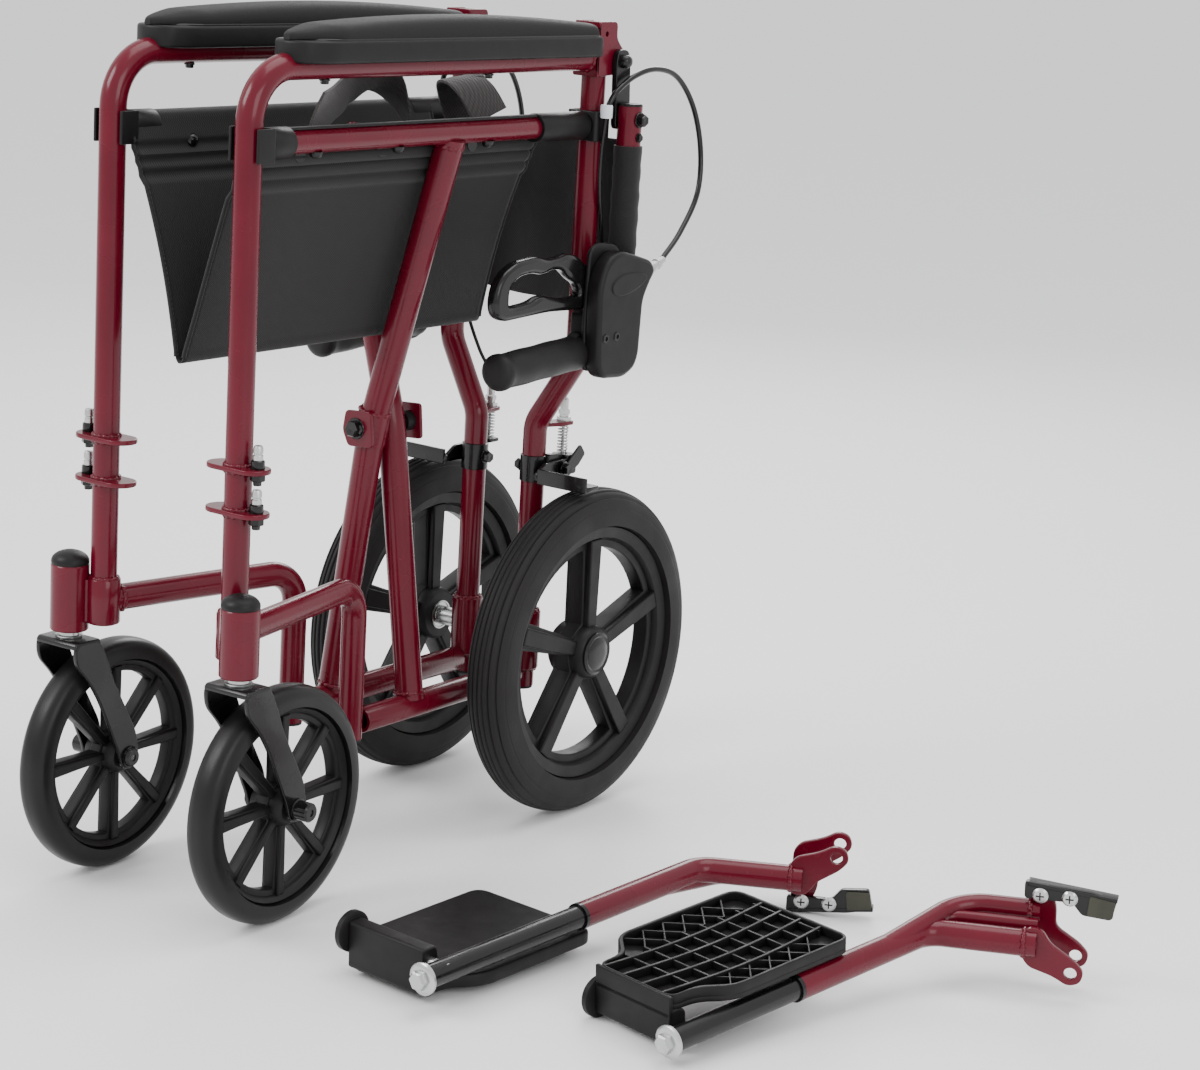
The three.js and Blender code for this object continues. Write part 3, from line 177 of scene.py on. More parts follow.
class Effects:
    """Shared node groups. Each takes a pitch in millimetres and gives a Height and a Mask."""

    def __init__(self) -> None:
        self.made: dict[str, bpy.types.NodeTree] = {}

    def get(self, relief: str) -> bpy.types.NodeTree:
        """Returns the node group of an effect, making it once.

        Args:
            relief: peel, grain, pores or weave.
        """
        if relief not in self.made:
            self.made[relief] = getattr(self, f"_{relief}")(self._empty(relief))
        return self.made[relief]

    @staticmethod
    def _empty(name: str) -> bpy.types.NodeTree:
        tree = bpy.data.node_groups.new(f"relief_{name}", "ShaderNodeTree")
        pitch = tree.interface.new_socket("Pitch", in_out="INPUT", socket_type="NodeSocketFloat")
        pitch.default_value = 1.0
        tree.interface.new_socket("Height", in_out="OUTPUT", socket_type="NodeSocketFloat")
        tree.interface.new_socket("Mask", in_out="OUTPUT", socket_type="NodeSocketFloat")
        return tree

    @staticmethod
    def _ends(tree: bpy.types.NodeTree) -> tuple[bpy.types.Node, bpy.types.Node, bpy.types.Node]:
        """Returns the group's input, output and a coordinate vector counted in grains."""
        nodes, links = tree.nodes, tree.links
        start = nodes.new("NodeGroupInput")
        end = nodes.new("NodeGroupOutput")
        coords = nodes.new("ShaderNodeTexCoord")
        rate = nodes.new("ShaderNodeMath")
        rate.operation = "DIVIDE"
        rate.inputs[0].default_value = 1000.0
        scaled = nodes.new("ShaderNodeVectorMath")
        scaled.operation = "SCALE"
        links.new(start.outputs["Pitch"], rate.inputs[1])
        links.new(coords.outputs["Object"], scaled.inputs[0])
        links.new(rate.outputs[0], scaled.inputs["Scale"])
        return start, end, scaled

    @staticmethod
    def _noise(tree: bpy.types.NodeTree, vector: bpy.types.NodeSocket, scale: float, detail: float) -> bpy.types.Node:
        noise = tree.nodes.new("ShaderNodeTexNoise")
        noise.inputs["Scale"].default_value = scale
        noise.inputs["Detail"].default_value = detail
        tree.links.new(vector, noise.inputs["Vector"])
        return noise

    def _peel(self, tree: bpy.types.NodeTree) -> bpy.types.NodeTree:
        """Soft ripple of sprayed or moulded skins, with broad patches of wear."""
        _, end, scaled = self._ends(tree)
        fine = self._noise(tree, scaled.outputs[0], 1.0, 1.5)
        broad = self._noise(tree, scaled.outputs[0], 0.06, 4.0)
        tree.links.new(fine.outputs["Fac"], end.inputs["Height"])
        tree.links.new(broad.outputs["Fac"], end.inputs["Mask"])
        return tree

    def _grain(self, tree: bpy.types.NodeTree) -> bpy.types.NodeTree:
        """Fine moulded texture of black plastics and rubber."""
        _, end, scaled = self._ends(tree)
        cells = tree.nodes.new("ShaderNodeTexVoronoi")
        cells.inputs["Scale"].default_value = 1.0
        tree.links.new(scaled.outputs[0], cells.inputs["Vector"])
        broad = self._noise(tree, scaled.outputs[0], 0.05, 5.0)
        tree.links.new(cells.outputs["Distance"], end.inputs["Height"])
        tree.links.new(broad.outputs["Fac"], end.inputs["Mask"])
        return tree

    def _pores(self, tree: bpy.types.NodeTree) -> bpy.types.NodeTree:
        """Open cells of skinned foam."""
        _, end, scaled = self._ends(tree)
        cells = tree.nodes.new("ShaderNodeTexVoronoi")
        cells.feature = "SMOOTH_F1"
        cells.inputs["Scale"].default_value = 1.0
        tree.links.new(scaled.outputs[0], cells.inputs["Vector"])
        fine = self._noise(tree, scaled.outputs[0], 1.7, 3.0)
        tree.links.new(cells.outputs["Distance"], end.inputs["Height"])
        tree.links.new(fine.outputs["Fac"], end.inputs["Mask"])
        return tree

    def _weave(self, tree: bpy.types.NodeTree) -> bpy.types.NodeTree:
        """Plain weave: threads along Y crossed by threads that run down the cloth. Its Mask is the thread height, which
        paints shade into the dips and sheen onto the crests.
        """
        _, end, scaled = self._ends(tree)
        nodes, links = tree.nodes, tree.links
        split = nodes.new("ShaderNodeSeparateXYZ")
        links.new(scaled.outputs[0], split.inputs[0])
        down = nodes.new("ShaderNodeMath")
        down.operation = "ADD"
        links.new(split.outputs["X"], down.inputs[0])
        links.new(split.outputs["Z"], down.inputs[1])
        waves = []
        for source in (split.outputs["Y"], down.outputs[0]):
            turn = nodes.new("ShaderNodeMath")
            turn.operation = "MULTIPLY"
            turn.inputs[1].default_value = math.tau / 2
            links.new(source, turn.inputs[0])
            wave = nodes.new("ShaderNodeMath")
            wave.operation = "SINE"
            links.new(turn.outputs[0], wave.inputs[0])
            waves.append(wave)
        product = nodes.new("ShaderNodeMath")
        product.operation = "MULTIPLY"
        links.new(waves[0].outputs[0], product.inputs[0])
        links.new(waves[1].outputs[0], product.inputs[1])
        height = nodes.new("ShaderNodeMath")
        height.operation = "MULTIPLY_ADD"
        height.inputs[1].default_value = 0.5
        height.inputs[2].default_value = 0.5
        links.new(product.outputs[0], height.inputs[0])
        links.new(height.outputs[0], end.inputs["Height"])
        # painted light: the colour mask is the thread height, painted shade in the dips and painted sheen on the crests
        links.new(height.outputs[0], end.inputs["Mask"])
        return tree


class Paints:
    """Makes one material per finish."""

    def __init__(self) -> None:
        self.effects = Effects()
        self.made: dict[str, bpy.types.Material] = {}

    def get(self, finish: Finish) -> bpy.types.Material:
        """Returns the material of a finish.

        Args:
            finish: the surface to make.
        """
        if finish.name not in self.made:
            self.made[finish.name] = self._make(finish)
        return self.made[finish.name]

    def _make(self, finish: Finish) -> bpy.types.Material:
        material = bpy.data.materials.new(finish.name)
        material.use_nodes = True
        nodes, links = material.node_tree.nodes, material.node_tree.links
        shader = nodes["Principled BSDF"]
        effect = nodes.new("ShaderNodeGroup")
        effect.node_tree = self.effects.get(finish.relief)
        effect.inputs["Pitch"].default_value = finish.pitch
        # The mask mixes the two tones: random patches on most reliefs, but on woven finishes it is the thread height,
        # which paints shade into the dips and sheen onto the crests
        tones = nodes.new("ShaderNodeMix")
        tones.data_type = "RGBA"
        tones.inputs["A"].default_value = (*finish.shade, 1.0)
        tones.inputs["B"].default_value = (*finish.tone, 1.0)
        links.new(effect.outputs["Mask"], tones.inputs["Factor"])
        links.new(tones.outputs["Result"], shader.inputs["Base Color"])
        gloss = nodes.new("ShaderNodeMapRange")
        gloss.inputs["From Min"].default_value = 0.3
        gloss.inputs["From Max"].default_value = 0.7
        gloss.inputs["To Min"].default_value = finish.roughness[0]
        gloss.inputs["To Max"].default_value = finish.roughness[1]
        links.new(effect.outputs["Mask"], gloss.inputs["Value"])
        links.new(gloss.outputs["Result"], shader.inputs["Roughness"])
        bump = nodes.new("ShaderNodeBump")
        bump.inputs["Strength"].default_value = finish.depth
        bump.inputs["Distance"].default_value = finish.pitch * 0.25 * MM
        links.new(effect.outputs["Height"], bump.inputs["Height"])
        links.new(bump.outputs["Normal"], shader.inputs["Normal"])
        shader.inputs["Metallic"].default_value = finish.metallic
        shader.inputs["Coat Weight"].default_value = finish.coat
        shader.inputs["Coat Roughness"].default_value = 0.08
        shader.inputs["Sheen Weight"].default_value = finish.sheen
        shader.inputs["Specular IOR Level"].default_value = finish.specular
        return material


# ---- Shapes --------------------------------------------------------------------------------------
def filleted(corners: list[Point], radii: list[float], steps: int = 12) -> list[Vector]:
    """Rounds the corners of a run of straight lines.

    Args:
        corners: points of the run.
        radii: bend radius at each inner corner.
        steps: pieces in each arc.

    Returns:
        Points along the rounded run.
    """
    points = [Vector(c) for c in corners]
    run = [points[0]]
    for i in range(1, len(points) - 1):
        into = (points[i] - points[i - 1]).normalized()
        out = (points[i + 1] - points[i]).normalized()
        turn = into.angle(out)
        if turn < 1e-4:
            continue
        radius = radii[min(i - 1, len(radii) - 1)]
        start = points[i] - into * radius * math.tan(turn / 2)
        centre = points[i] + (out - into).normalized() * radius / math.cos(turn / 2)
        axis = into.cross(out).normalized()
        spoke = start - centre
        run += [centre + Matrix.Rotation(turn * k / steps, 3, axis) @ spoke for k in range(steps + 1)]
    run.append(points[-1])
    return run


def soft_outline(outline: list[Pair], radius: float, steps: int = 5) -> list[Pair]:
    """Rounds the corners of a closed outline.

    Args:
        outline: corners in order.
        radius: corner radius, cut down where an edge is short.
        steps: pieces in each arc.
    """
    count = len(outline)
    soft: list[Pair] = []
    for i in range(count):
        here = Vector(outline[i])
        before, after = Vector(outline[i - 1]), Vector(outline[(i + 1) % count])
        into, out = here - before, after - here
        reach = min(radius, into.length * 0.45, out.length * 0.45)
        a = here - into.normalized() * reach
        b = here + out.normalized() * reach
        for k in range(steps + 1):
            t = k / steps
            p = a * (1 - t) ** 2 + here * 2 * t * (1 - t) + b * t**2
            soft.append((p.x, p.y))
    return soft


def circle(centre: Pair, radius: float, sides: int = 32) -> list[Pair]:
    """Returns a round outline."""
    turns = [math.tau * k / sides for k in range(sides)]
    return [(centre[0] + radius * math.cos(t), centre[1] + radius * math.sin(t)) for t in turns]


AXES = {
    "x": Matrix(((0, 0, 1, 0), (1, 0, 0, 0), (0, 1, 0, 0), (0, 0, 0, 1))),
    "y": Matrix(((0, 1, 0, 0), (0, 0, 1, 0), (1, 0, 0, 0), (0, 0, 0, 1))),
    "z": Matrix.Identity(4),
}


class Workshop:
    """Makes meshes in a local frame, paints them and hangs them on a CAD body.

    `frame` is the matrix from the local millimetres to row metres.
    """

    def __init__(self, paints: Paints, frame: Matrix, body: str, suffix: str) -> None:
        self.paints = paints
        self.frame = frame
        self.body = body
        self.suffix = suffix
        self.last: list[bpy.types.Object] = []

    def on(self, body: str) -> "Workshop":
        """Returns a workshop whose pieces ride on another body."""
        return Workshop(self.paints, self.frame, body, self.suffix)

    def within(self, local: Matrix) -> "Workshop":
        """Returns a workshop in a frame placed inside this one."""
        return Workshop(self.paints, self.frame @ local, self.body, self.suffix)

    def keep(self, name: str, verts: list, faces: list, finish: Finish, angle: float = 38.0, ride: bool = True):
        """Turns points and faces into a painted piece.

        Args:
            name: the piece's name, without its side.
            verts: points in local millimetres.
            faces: tuples of point numbers.
            finish: its surface.
            angle: edges sharper than this many degrees stay crisp.
            ride: False leaves it on no body.
        """
        mesh = bpy.data.meshes.new(name + self.suffix)
        mesh.from_pydata([tuple(v) for v in verts], [], faces)
        mesh.transform(self.frame)
        if self.frame.determinant() < 0:
            mesh.flip_normals()
        mesh.polygons.foreach_set("use_smooth", [True] * len(mesh.polygons))
        mesh.set_sharp_from_angle(angle=math.radians(angle))
        mesh.materials.append(self.paints.get(finish))
        mesh.update()
        piece = bpy.data.objects.new(name + self.suffix, mesh)
        bpy.context.scene.collection.objects.link(piece)
        if ride:
            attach(piece, self.body)
        return piece

    def tube(self, name: str, corners: list[Point], radius: float, radii: list[float], finish: Finish, **options):
        """Sweeps a round bar along a bent run.

        Args:
            name: the piece's name.
            corners: points of the run.
            radius: the bar's radius.
            radii: bend radius at each inner corner.
            finish: its surface.
            options: sides, round_end, smooth (points are taken as they are), ride.
        """
        sides = options.get("sides", 28)
        run = [Vector(c) for c in corners] if options.get("smooth") else filleted(corners, radii)
        widths = [radius] * len(run)
        if options.get("round_end"):
            last = (run[-1] - run[-2]).normalized()
            tip = run.pop()
            widths.pop()
            for k in range(7):
                t = math.pi / 2 * k / 6
                run.append(tip - last * radius * (1 - math.sin(t)))
                widths.append(max(radius * math.cos(t), 0.02))
        tangents = [(run[min(i + 1, len(run) - 1)] - run[max(i - 1, 0)]).normalized() for i in range(len(run))]
        across = tangents[0].orthogonal().normalized()
        verts: list[Vector] = []
        for i, (point, tangent) in enumerate(zip(run, tangents)):
            if i:
                across = (tangents[i - 1].rotation_difference(tangent) @ across).normalized()
            other = tangent.cross(across)
            for k in range(sides):
                t = math.tau * k / sides
                verts.append(point + (across * math.cos(t) + other * math.sin(t)) * widths[i])
        faces = [
            (i * sides + k, i * sides + (k + 1) % sides, (i + 1) * sides + (k + 1) % sides, (i + 1) * sides + k)
            for i in range(len(run) - 1)
            for k in range(sides)
        ]
        faces.append(tuple(reversed(range(sides))))
        faces.append(tuple((len(run) - 1) * sides + k for k in range(sides)))
        return self.keep(name, verts, faces, finish, ride=options.get("ride", True))

    def lathe(self, name: str, profile: list[Pair], axis: str, centre: Point, finish: Finish, sides: int = 40, **options):
        """Turns a profile of (radius, height) about an axis.

        Args:
            name: the piece's name.
            profile: from one end to the other; a radius of 0 closes the end.
            axis: x, y or z.
            centre: where height 0 is.
            finish: its surface.
            sides: facets round the axis.
            options: closed (the profile runs back to its start), angle.
        """
        basis = Matrix.Translation(centre) @ AXES[axis]
        rings = len(profile)
        verts = []
        for r, h in profile:
            for k in range(sides):
                t = math.tau * (k + 0.5) / sides
                verts.append(basis @ Vector((max(r, 0.01) * math.cos(t), max(r, 0.01) * math.sin(t), h)))
        faces = []
        for i in range(rings if options.get("closed") else rings - 1):
            j = (i + 1) % rings
            for k in range(sides):
                m = (k + 1) % sides
                faces.append((i * sides + k, i * sides + m, j * sides + m, j * sides + k))
        if not options.get("closed"):
            faces.append(tuple(reversed(range(sides))))
            faces.append(tuple((rings - 1) * sides + k for k in range(sides)))
        piece = self.keep(name, verts, faces, finish, options.get("angle", 38.0))
        outward(piece)
        return piece

    def prism(self, name: str, outline: list[Pair], span: Pair, axis: str, finish: Finish, **options):
        """Cuts a flat plate with rounded edges, and holes if any.

        Args:
            name: the piece's name.
            outline: corners in the plane across the axis, (y, z) for x, (z, x) for y and (x, y) for z.
            span: where the plate starts and ends along the axis.
            axis: x, y or z.
            finish: its surface.
            options: holes (a list of outlines), bevel, basis (a matrix in place of the axis).
        """
        bevel = options.get("bevel", 0.8)
        curve = bpy.data.curves.new("outline", "CURVE")
        curve.dimensions = "2D"
        curve.fill_mode = "BOTH"
        curve.extrude = abs(span[1] - span[0]) / 2 - bevel
        curve.bevel_depth = bevel
        curve.bevel_resolution = 2
        curve.offset = -bevel
        for ring in [outline, *options.get("holes", [])]:
            spline = curve.splines.new("POLY")
            spline.points.add(len(ring) - 1)
            for point, (a, b) in zip(spline.points, ring):
                point.co = (a, b, 0.0, 1.0)
            spline.use_cyclic_u = True
        maker = bpy.data.objects.new("outline", curve)
        bpy.context.scene.collection.objects.link(maker)
        bpy.context.view_layer.update()
        flat = maker.to_mesh()
        basis = options.get("basis", AXES[axis]) @ Matrix.Translation((0, 0, (span[0] + span[1]) / 2))
        verts = [basis @ v.co for v in flat.vertices]
        faces = [tuple(p.vertices) for p in flat.polygons]
        maker.to_mesh_clear()
        bpy.data.objects.remove(maker)
        bpy.data.curves.remove(curve)
        piece = self.keep(name, verts, faces, finish, 50.0)
        outward(piece)
        return piece

    def bolt(self, name: str, centre: Point, axis: str, radius: float, height: float, finish: Finish, sign: int = 1):
        """Puts a hexagon head with a washer on a face.

        Args:
            name: the piece's name.
            centre: where the axis meets the face.
            axis: x, y or z.
            radius: across the corners, halved.
            height: how far it stands off.
            finish: its surface.
            sign: -1 points it the other way.
        """
        washer = [(0, 0), (radius * 1.25, 0), (radius * 1.3, 0.5 * sign), (radius * 1.25, 1.2 * sign), (0, 1.2 * sign)]
        self.lathe(f"{name}_washer", washer, axis, centre, finish, 28)
        start = 1.2 * sign
        top = height * sign
        head = [(0, start), (radius, start), (radius, top * 0.82), (radius * 0.84, top), (radius * 0.4, top), (0, top * 0.92)]
        self.lathe(f"{name}_head", head, axis, centre, finish, 6, angle=20.0)

    def weld(self, name: str, centre: Point, direction: Point, radius: float, finish: Finish, seed: int = 1):
        """Lays a rippled weld bead round a bar.

        Args:
            name: the piece's name.
            centre: middle of the ring.
            direction: the bar's direction.
            radius: the bar's radius.
            finish: its surface.
            seed: varies the ripples.
        """
        rng = np.random.default_rng(seed)
        turn = Vector((0, 0, 1)).rotation_difference(Vector(direction)).to_matrix().to_4x4()
        basis = Matrix.Translation(centre) @ turn
        around, section = 64, 10
        ripple = rng.uniform(-0.35, 0.35, around)
        verts = []
        for i in range(around):
            t = math.tau * i / around
            size = 1.9 + 0.45 * math.sin(t * 13 + seed) + ripple[i] * 0.6
            for k in range(section):
                p = math.tau * k / section
                r = radius - 0.4 + size * math.cos(p)
                verts.append(basis @ Vector((r * math.cos(t), r * math.sin(t), size * 1.15 * math.sin(p))))
        faces = [
            (
                i * section + k,
                ((i + 1) % around) * section + k,
                ((i + 1) % around) * section + (k + 1) % section,
                i * section + (k + 1) % section,
            )
            for i in range(around)
            for k in range(section)
        ]
        return self.keep(name, verts, faces, finish, 80.0)


def outward(piece: bpy.types.Object) -> None:
    """Turns a closed piece's faces to point out."""
    mesh = piece.data
    mesh.calc_loop_triangles()
    total = 0.0
    for triangle in mesh.loop_triangles:
        a, b, c = (mesh.vertices[i].co for i in triangle.vertices)
        total += a.dot(b.cross(c))
    if total < 0:
        mesh.flip_normals()


def stands_for(node: str) -> None:
    """Hides a CAD node that a piece stands in for."""
    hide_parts(node)


# ---- Side frame ----------------------------------------------------------------------------------
@dataclass
class SideFrame:
    """One welded side frame: upright, lower tube, rear post, hinge bracket and armrest."""

    side: Side
    half: float = 74.5
    tube: float = 11.1
    front: float = -148.5
    arm: float = 705.0
    rear: float = 304.0
    lower: float = 35.0
    foot: Pair = (48.0, 298.0)
    stem: Pair = (97.0, -165.5)

    def build(self, shop: Workshop) -> None:
        """Builds the side frame's pieces.

        Args:
            shop: a workshop in the side's own mirrored frame.
        """
        self._upright(shop)
        self._lower(shop)
        self._post(shop)
        self._bracket(shop)
        self._armrest(shop)

    def _upright(self, shop: Workshop) -> None:
        x, y = self.half, self.front
        line = [(x, y, 262), (x, y, self.arm), (x, 290.0, self.arm)]
        piece = shop.tube("upright", line, self.tube, [45], Finishes.CRIMSON, sides=36)
        stands_for(f"front_upright_{self.side.word}")
        shop.weld("weld_arm_rear", (x, 289, self.arm), (0, 1, 0), self.tube, Finishes.CRIMSON, 3)
        for i, z in enumerate((352.0, 388.0)):
            reach = 15.5
            turns = [math.pi * k / 16 for k in range(17)]
            right = [(x + reach + 14.5 * math.sin(t), y - 14.5 * math.cos(t)) for t in turns]
            left = [(x - reach - 14.5 * math.sin(t), y + 14.5 * math.cos(t)) for t in turns]
            shop.prism(f"peg_plate_{i}", right + left, (z - 2, z + 2), "z", Finishes.CRIMSON, bevel=0.9)
            shop.weld(f"peg_weld_{i}", (x, y, z + 2.2), (0, 0, 1), self.tube, Finishes.CRIMSON, 5 + i)
            shop.weld(f"peg_weld_low_{i}", (x, y, z - 2.2), (0, 0, 1), self.tube, Finishes.CRIMSON, 9 + i)
            peg = (x + 20.5, y, z)
            collar = [(0, 2), (5.6, 2), (5.8, 3), (5.6, 8.5), (4.6, 9.4), (0, 9.4)]
            shop.lathe(f"peg_collar_{i}", collar, "z", peg, Finishes.SMOOTH, 24)
            pin = [(0, 9), (4.1, 9), (4.1, 13), (3.4, 13.6), (3.4, 14.6), (4.1, 15.2), (4.0, 19), (3.2, 21), (0, 21.6)]
            shop.lathe(f"peg_{i}", pin, "z", peg, Finishes.ZINC, 24)
            nut = [(0, -2), (6.3, -2), (6.3, -7.2), (5.4, -8), (3.6, -8), (3.4, -11.5), (0, -11.8)]
            shop.lathe(f"peg_nut_{i}", nut, "z", peg, Finishes.BLACK_COAT, 6, angle=25.0)

    def _lower(self, shop: Workshop) -> None:
        x, y = self.half, self.front
        line = [(x, y, 249.0), (self.lower, self.foot[0], 249.0), (self.lower, self.foot[0], 110.0)]
        piece = shop.tube("lower_tube", line, self.tube, [28], Finishes.CRIMSON, sides=36)
        stands_for(f"lower_front_tube_{self.side.word}")
        plug = [(0, 111), (9.8, 111), (10.6, 109.5), (10.2, 107.5), (0, 107)]
        shop.lathe("lower_plug", plug, "z", (self.lower, self.foot[0], 0), Finishes.PLASTIC, 28)
        sleeve = [(11.2, 229.4), (13.6, 229.4), (14.3, 230.4), (14.3, 267), (13.6, 268), (11.2, 268)]
        shop.lathe("upright_sleeve", sleeve, "z", (x, y, 0), Finishes.CRIMSON, 40, closed=True)
        bottom = [(0, 230.5), (11.5, 230.5), (11.5, 228.5), (0, 228)]
        shop.lathe("upright_plug", bottom, "z", (x, y, 0), Finishes.PLASTIC, 28)
        sx, sy = self.stem
        head = [(12, 222), (15.4, 222), (16.2, 223), (16.2, 278), (15.4, 279), (12, 279)]
        shop.lathe("head_tube", head, "z", (sx, sy, 0), Finishes.CRIMSON, 44, closed=True)
        turns = [math.pi / 2 * k / 8 for k in range(9)]
        dome = [(0, 279), (15.6, 279), (16.0, 280.0)]
        dome += [(16.0 * math.cos(t), 281.2 + 9.4 * math.sin(t)) for t in turns]
        shop.lathe("head_cap", dome, "z", (sx, sy, 0), Finishes.PLASTIC, 44)
        away = Vector((self.lower - x, self.foot[0] - y, 0)).normalized()
        root = Vector((x, y, 249)) + away * 15
        shop.weld("weld_lower_front", tuple(root), tuple(away), self.tube, Finishes.CRIMSON, 15)
        shop.weld("weld_sleeve_top", (x, y, 268), (0, 0, 1), 11.6, Finishes.CRIMSON, 16)
        gap = Vector((sx - x, sy - y, 0))
        for k, turn in enumerate((1, -1)):
            normal = Vector((-gap.y, gap.x, 0)).normalized() * turn
            at = Vector((x, y, 0)) + gap * 0.47 + normal * 5.5
            seam = [(at.x, at.y, 231), (at.x, at.y, 250), (at.x, at.y, 267)]
            shop.tube(f"seam_{k}", seam, 2.6, [1], Finishes.CRIMSON, sides=14)

    def _post(self, shop: Workshop) -> None:
        x, low, y = self.half, self.lower, self.foot[1]
        line = [(x, self.rear, 736), (x, self.rear, 430), (low, y, 364), (low, y, 110)]
        piece = shop.tube("post", line, self.tube, [30], Finishes.CRIMSON, sides=36)
        stands_for(f"rear_post_{self.side.word}")
        plug = [(0, 111), (9.8, 111), (10.6, 109.5), (10.2, 107.5), (0, 107)]
        shop.lathe("post_plug", plug, "z", (low, y, 0), Finishes.PLASTIC, 28)
        cap = [(0, 735), (9.6, 735), (9.9, 736), (9.2, 737.4), (0, 737.8)]
        shop.lathe("post_cap", cap, "z", (x, self.rear, 0), Finishes.PLASTIC, 28)
        sleeve = [(11.2, 127), (13.8, 127), (14.6, 128), (14.6, 182), (13.8, 183), (11.2, 183)]
        shop.lathe("axle_sleeve", sleeve, "z", (low, y, 0), Finishes.CRIMSON, 40, closed=True)
        shop.weld("axle_weld_top", (low, y, 183), (0, 0, 1), 12, Finishes.CRIMSON, 21)
        shop.weld("axle_weld_low", (low, y, 127), (0, 0, 1), 12, Finishes.CRIMSON, 22)
        tab = soft_outline([(low - 6, y), (low + 6, y), (51.5, 322), (52, 337.5), (36, 337.5), (34, 322)], 5)
        shop.prism("cable_tab", tab, (360.2, 363.8), "z", Finishes.CRIMSON, bevel=0.7)
        plate = soft_outline([(300, 308), (324, 308), (326, 333), (300, 336)], 5)
        shop.prism("brake_bracket", plate, (44.5, 51.2), "x", Finishes.BLACK_COAT, bevel=0.8)
        band = [(11.3, 309), (12.6, 309.5), (12.6, 333.5), (11.3, 334)]
        shop.lathe("brake_band", band, "z", (low, y, 0), Finishes.BLACK_COAT, 36, closed=True)
        shop.bolt("brake_band_bolt", (low - 12.4, y, 322), "x", 5.2, 7, Finishes.BLACK_COAT, -1)

    def _bracket(self, shop: Workshop) -> None:
        x, front = self.half, 290.1
        wall = 2.5
        inner = self.tube + 0.3
        outer = inner + wall
        side = [(front, 689), (323, 691), (331, 695), (333.5, 703), (331, 711), (325, 716), (318, 723), (318, 738)]
        side.append((front, 738))
        flange = soft_outline(side, 5)
        hole = circle((302, 727), 2.4, 18)
        for name, low in (("bracket_inboard", -outer), ("bracket_outboard", inner)):
            span = (x + low, x + low + wall)
            piece = shop.prism(name, flange, span, "x", Finishes.CRIMSON, bevel=0.7, holes=[hole])
        stands_for(f"hinge_bracket_{self.side.word}")
        web = soft_outline([(x - outer, 689), (x + outer, 689), (x + outer, 738), (x - outer, 738)], 2)
        web = [(b, a) for a, b in web]
        shop.prism("bracket_web", web, (front, front + wall), "y", Finishes.CRIMSON, bevel=0.7)
        shop.bolt("hinge_bolt_inboard", (x - outer, 321, 703), "x", 6.2, 6.5, Finishes.BLACK_COAT, -1)
        dome = [(0, 0), (7.4, 0), (7.4, 1.4), (6.2, 1.6), (6.0, 6), (4.6, 8.4), (2.2, 9.4), (0, 9.6)]
        shop.lathe("hinge_nut", dome, "x", (x + outer + 4.6, 321, 703), Finishes.BLACK_COAT, 24)

    def _armrest(self, shop: Workshop) -> None:
        centre, half = 76.0, 26.0
        nose = [(centre - half, -113 + 30), (centre - half * 0.72, -106), (centre, -113), (centre + half * 0.72, -106)]
        nose.append((centre + half, -113 + 30))
        plan = soft_outline([(centre + half, 286), (centre - half, 286), *nose], 14, 8)
        piece = shop.prism("arm_base", plan, (708, 726), "z", Finishes.PLASTIC, bevel=2.6)
        stands_for(f"armrest_base_{self.side.word}")
        step = soft_outline([(centre + 24, 284.5), (centre - 24, 284.5), (centre - 24, -80), (centre, -111.5), (centre + 24, -80)], 16, 8)
        shop.prism("arm_step", step, (724, 727.6), "z", Finishes.SMOOTH, bevel=1.0)
        self._pad(shop, centre)
        for i, y in enumerate((-62.0, 150.0)):
            shop.bolt(f"arm_screw_{i}", (self.half, y, self.arm - self.tube), "z", 3.6, 4, Finishes.BLACK_COAT, -1)

    def _pad(self, shop: Workshop, centre: float) -> None:
        """Crowned foam pad: rounded nose, high middle and a tapered rear end."""
        start, end, rows, around = -110.5, 283.5, 72, 36
        verts: list[Point] = []
        for i in range(rows + 1):
            t = i / rows
            eased = 0.5 - 0.5 * math.cos(math.pi * t)
            y = start + (end - start) * eased
            from_nose = (y - start) / 46
            from_rear = (end - y) / 9
            width = 23.6 * min(1, max(0.02, from_nose)) ** 0.5 if from_nose < 1 else 23.6
            width = min(width, 23.6 * max(0.02, min(1, from_rear)) ** 0.35)
            crown = 6.2 + 11.2 * math.sin(math.pi * min(1, max(0, (y - start + 22) / (end - start + 52)))) ** 0.8
            crown *= min(1, 0.35 + 0.65 * min(1, max(0, from_nose * 1.3)) ** 0.5)
            for k in range(around):
                a = math.tau * k / around
                c, s = math.cos(a), math.sin(a)
                x = centre + width * math.copysign(abs(c) ** 0.55, c)
                lift = crown * abs(s) ** 0.75 if s > 0 else -1.2 * abs(s) ** 0.5
                verts.append((x, y, 727.0 + lift))
        faces = [
            (i * around + k, i * around + (k + 1) % around, (i + 1) * around + (k + 1) % around, (i + 1) * around + k)
            for i in range(rows)
            for k in range(around)
        ]
        faces.append(tuple(reversed(range(around))))
        faces.append(tuple(rows * around + k for k in range(around)))
        piece = shop.keep("arm_pad", verts, faces, Finishes.FOAM, 60.0)
        outward(piece)
        stands_for(f"armrest_pad_{self.side.word}")


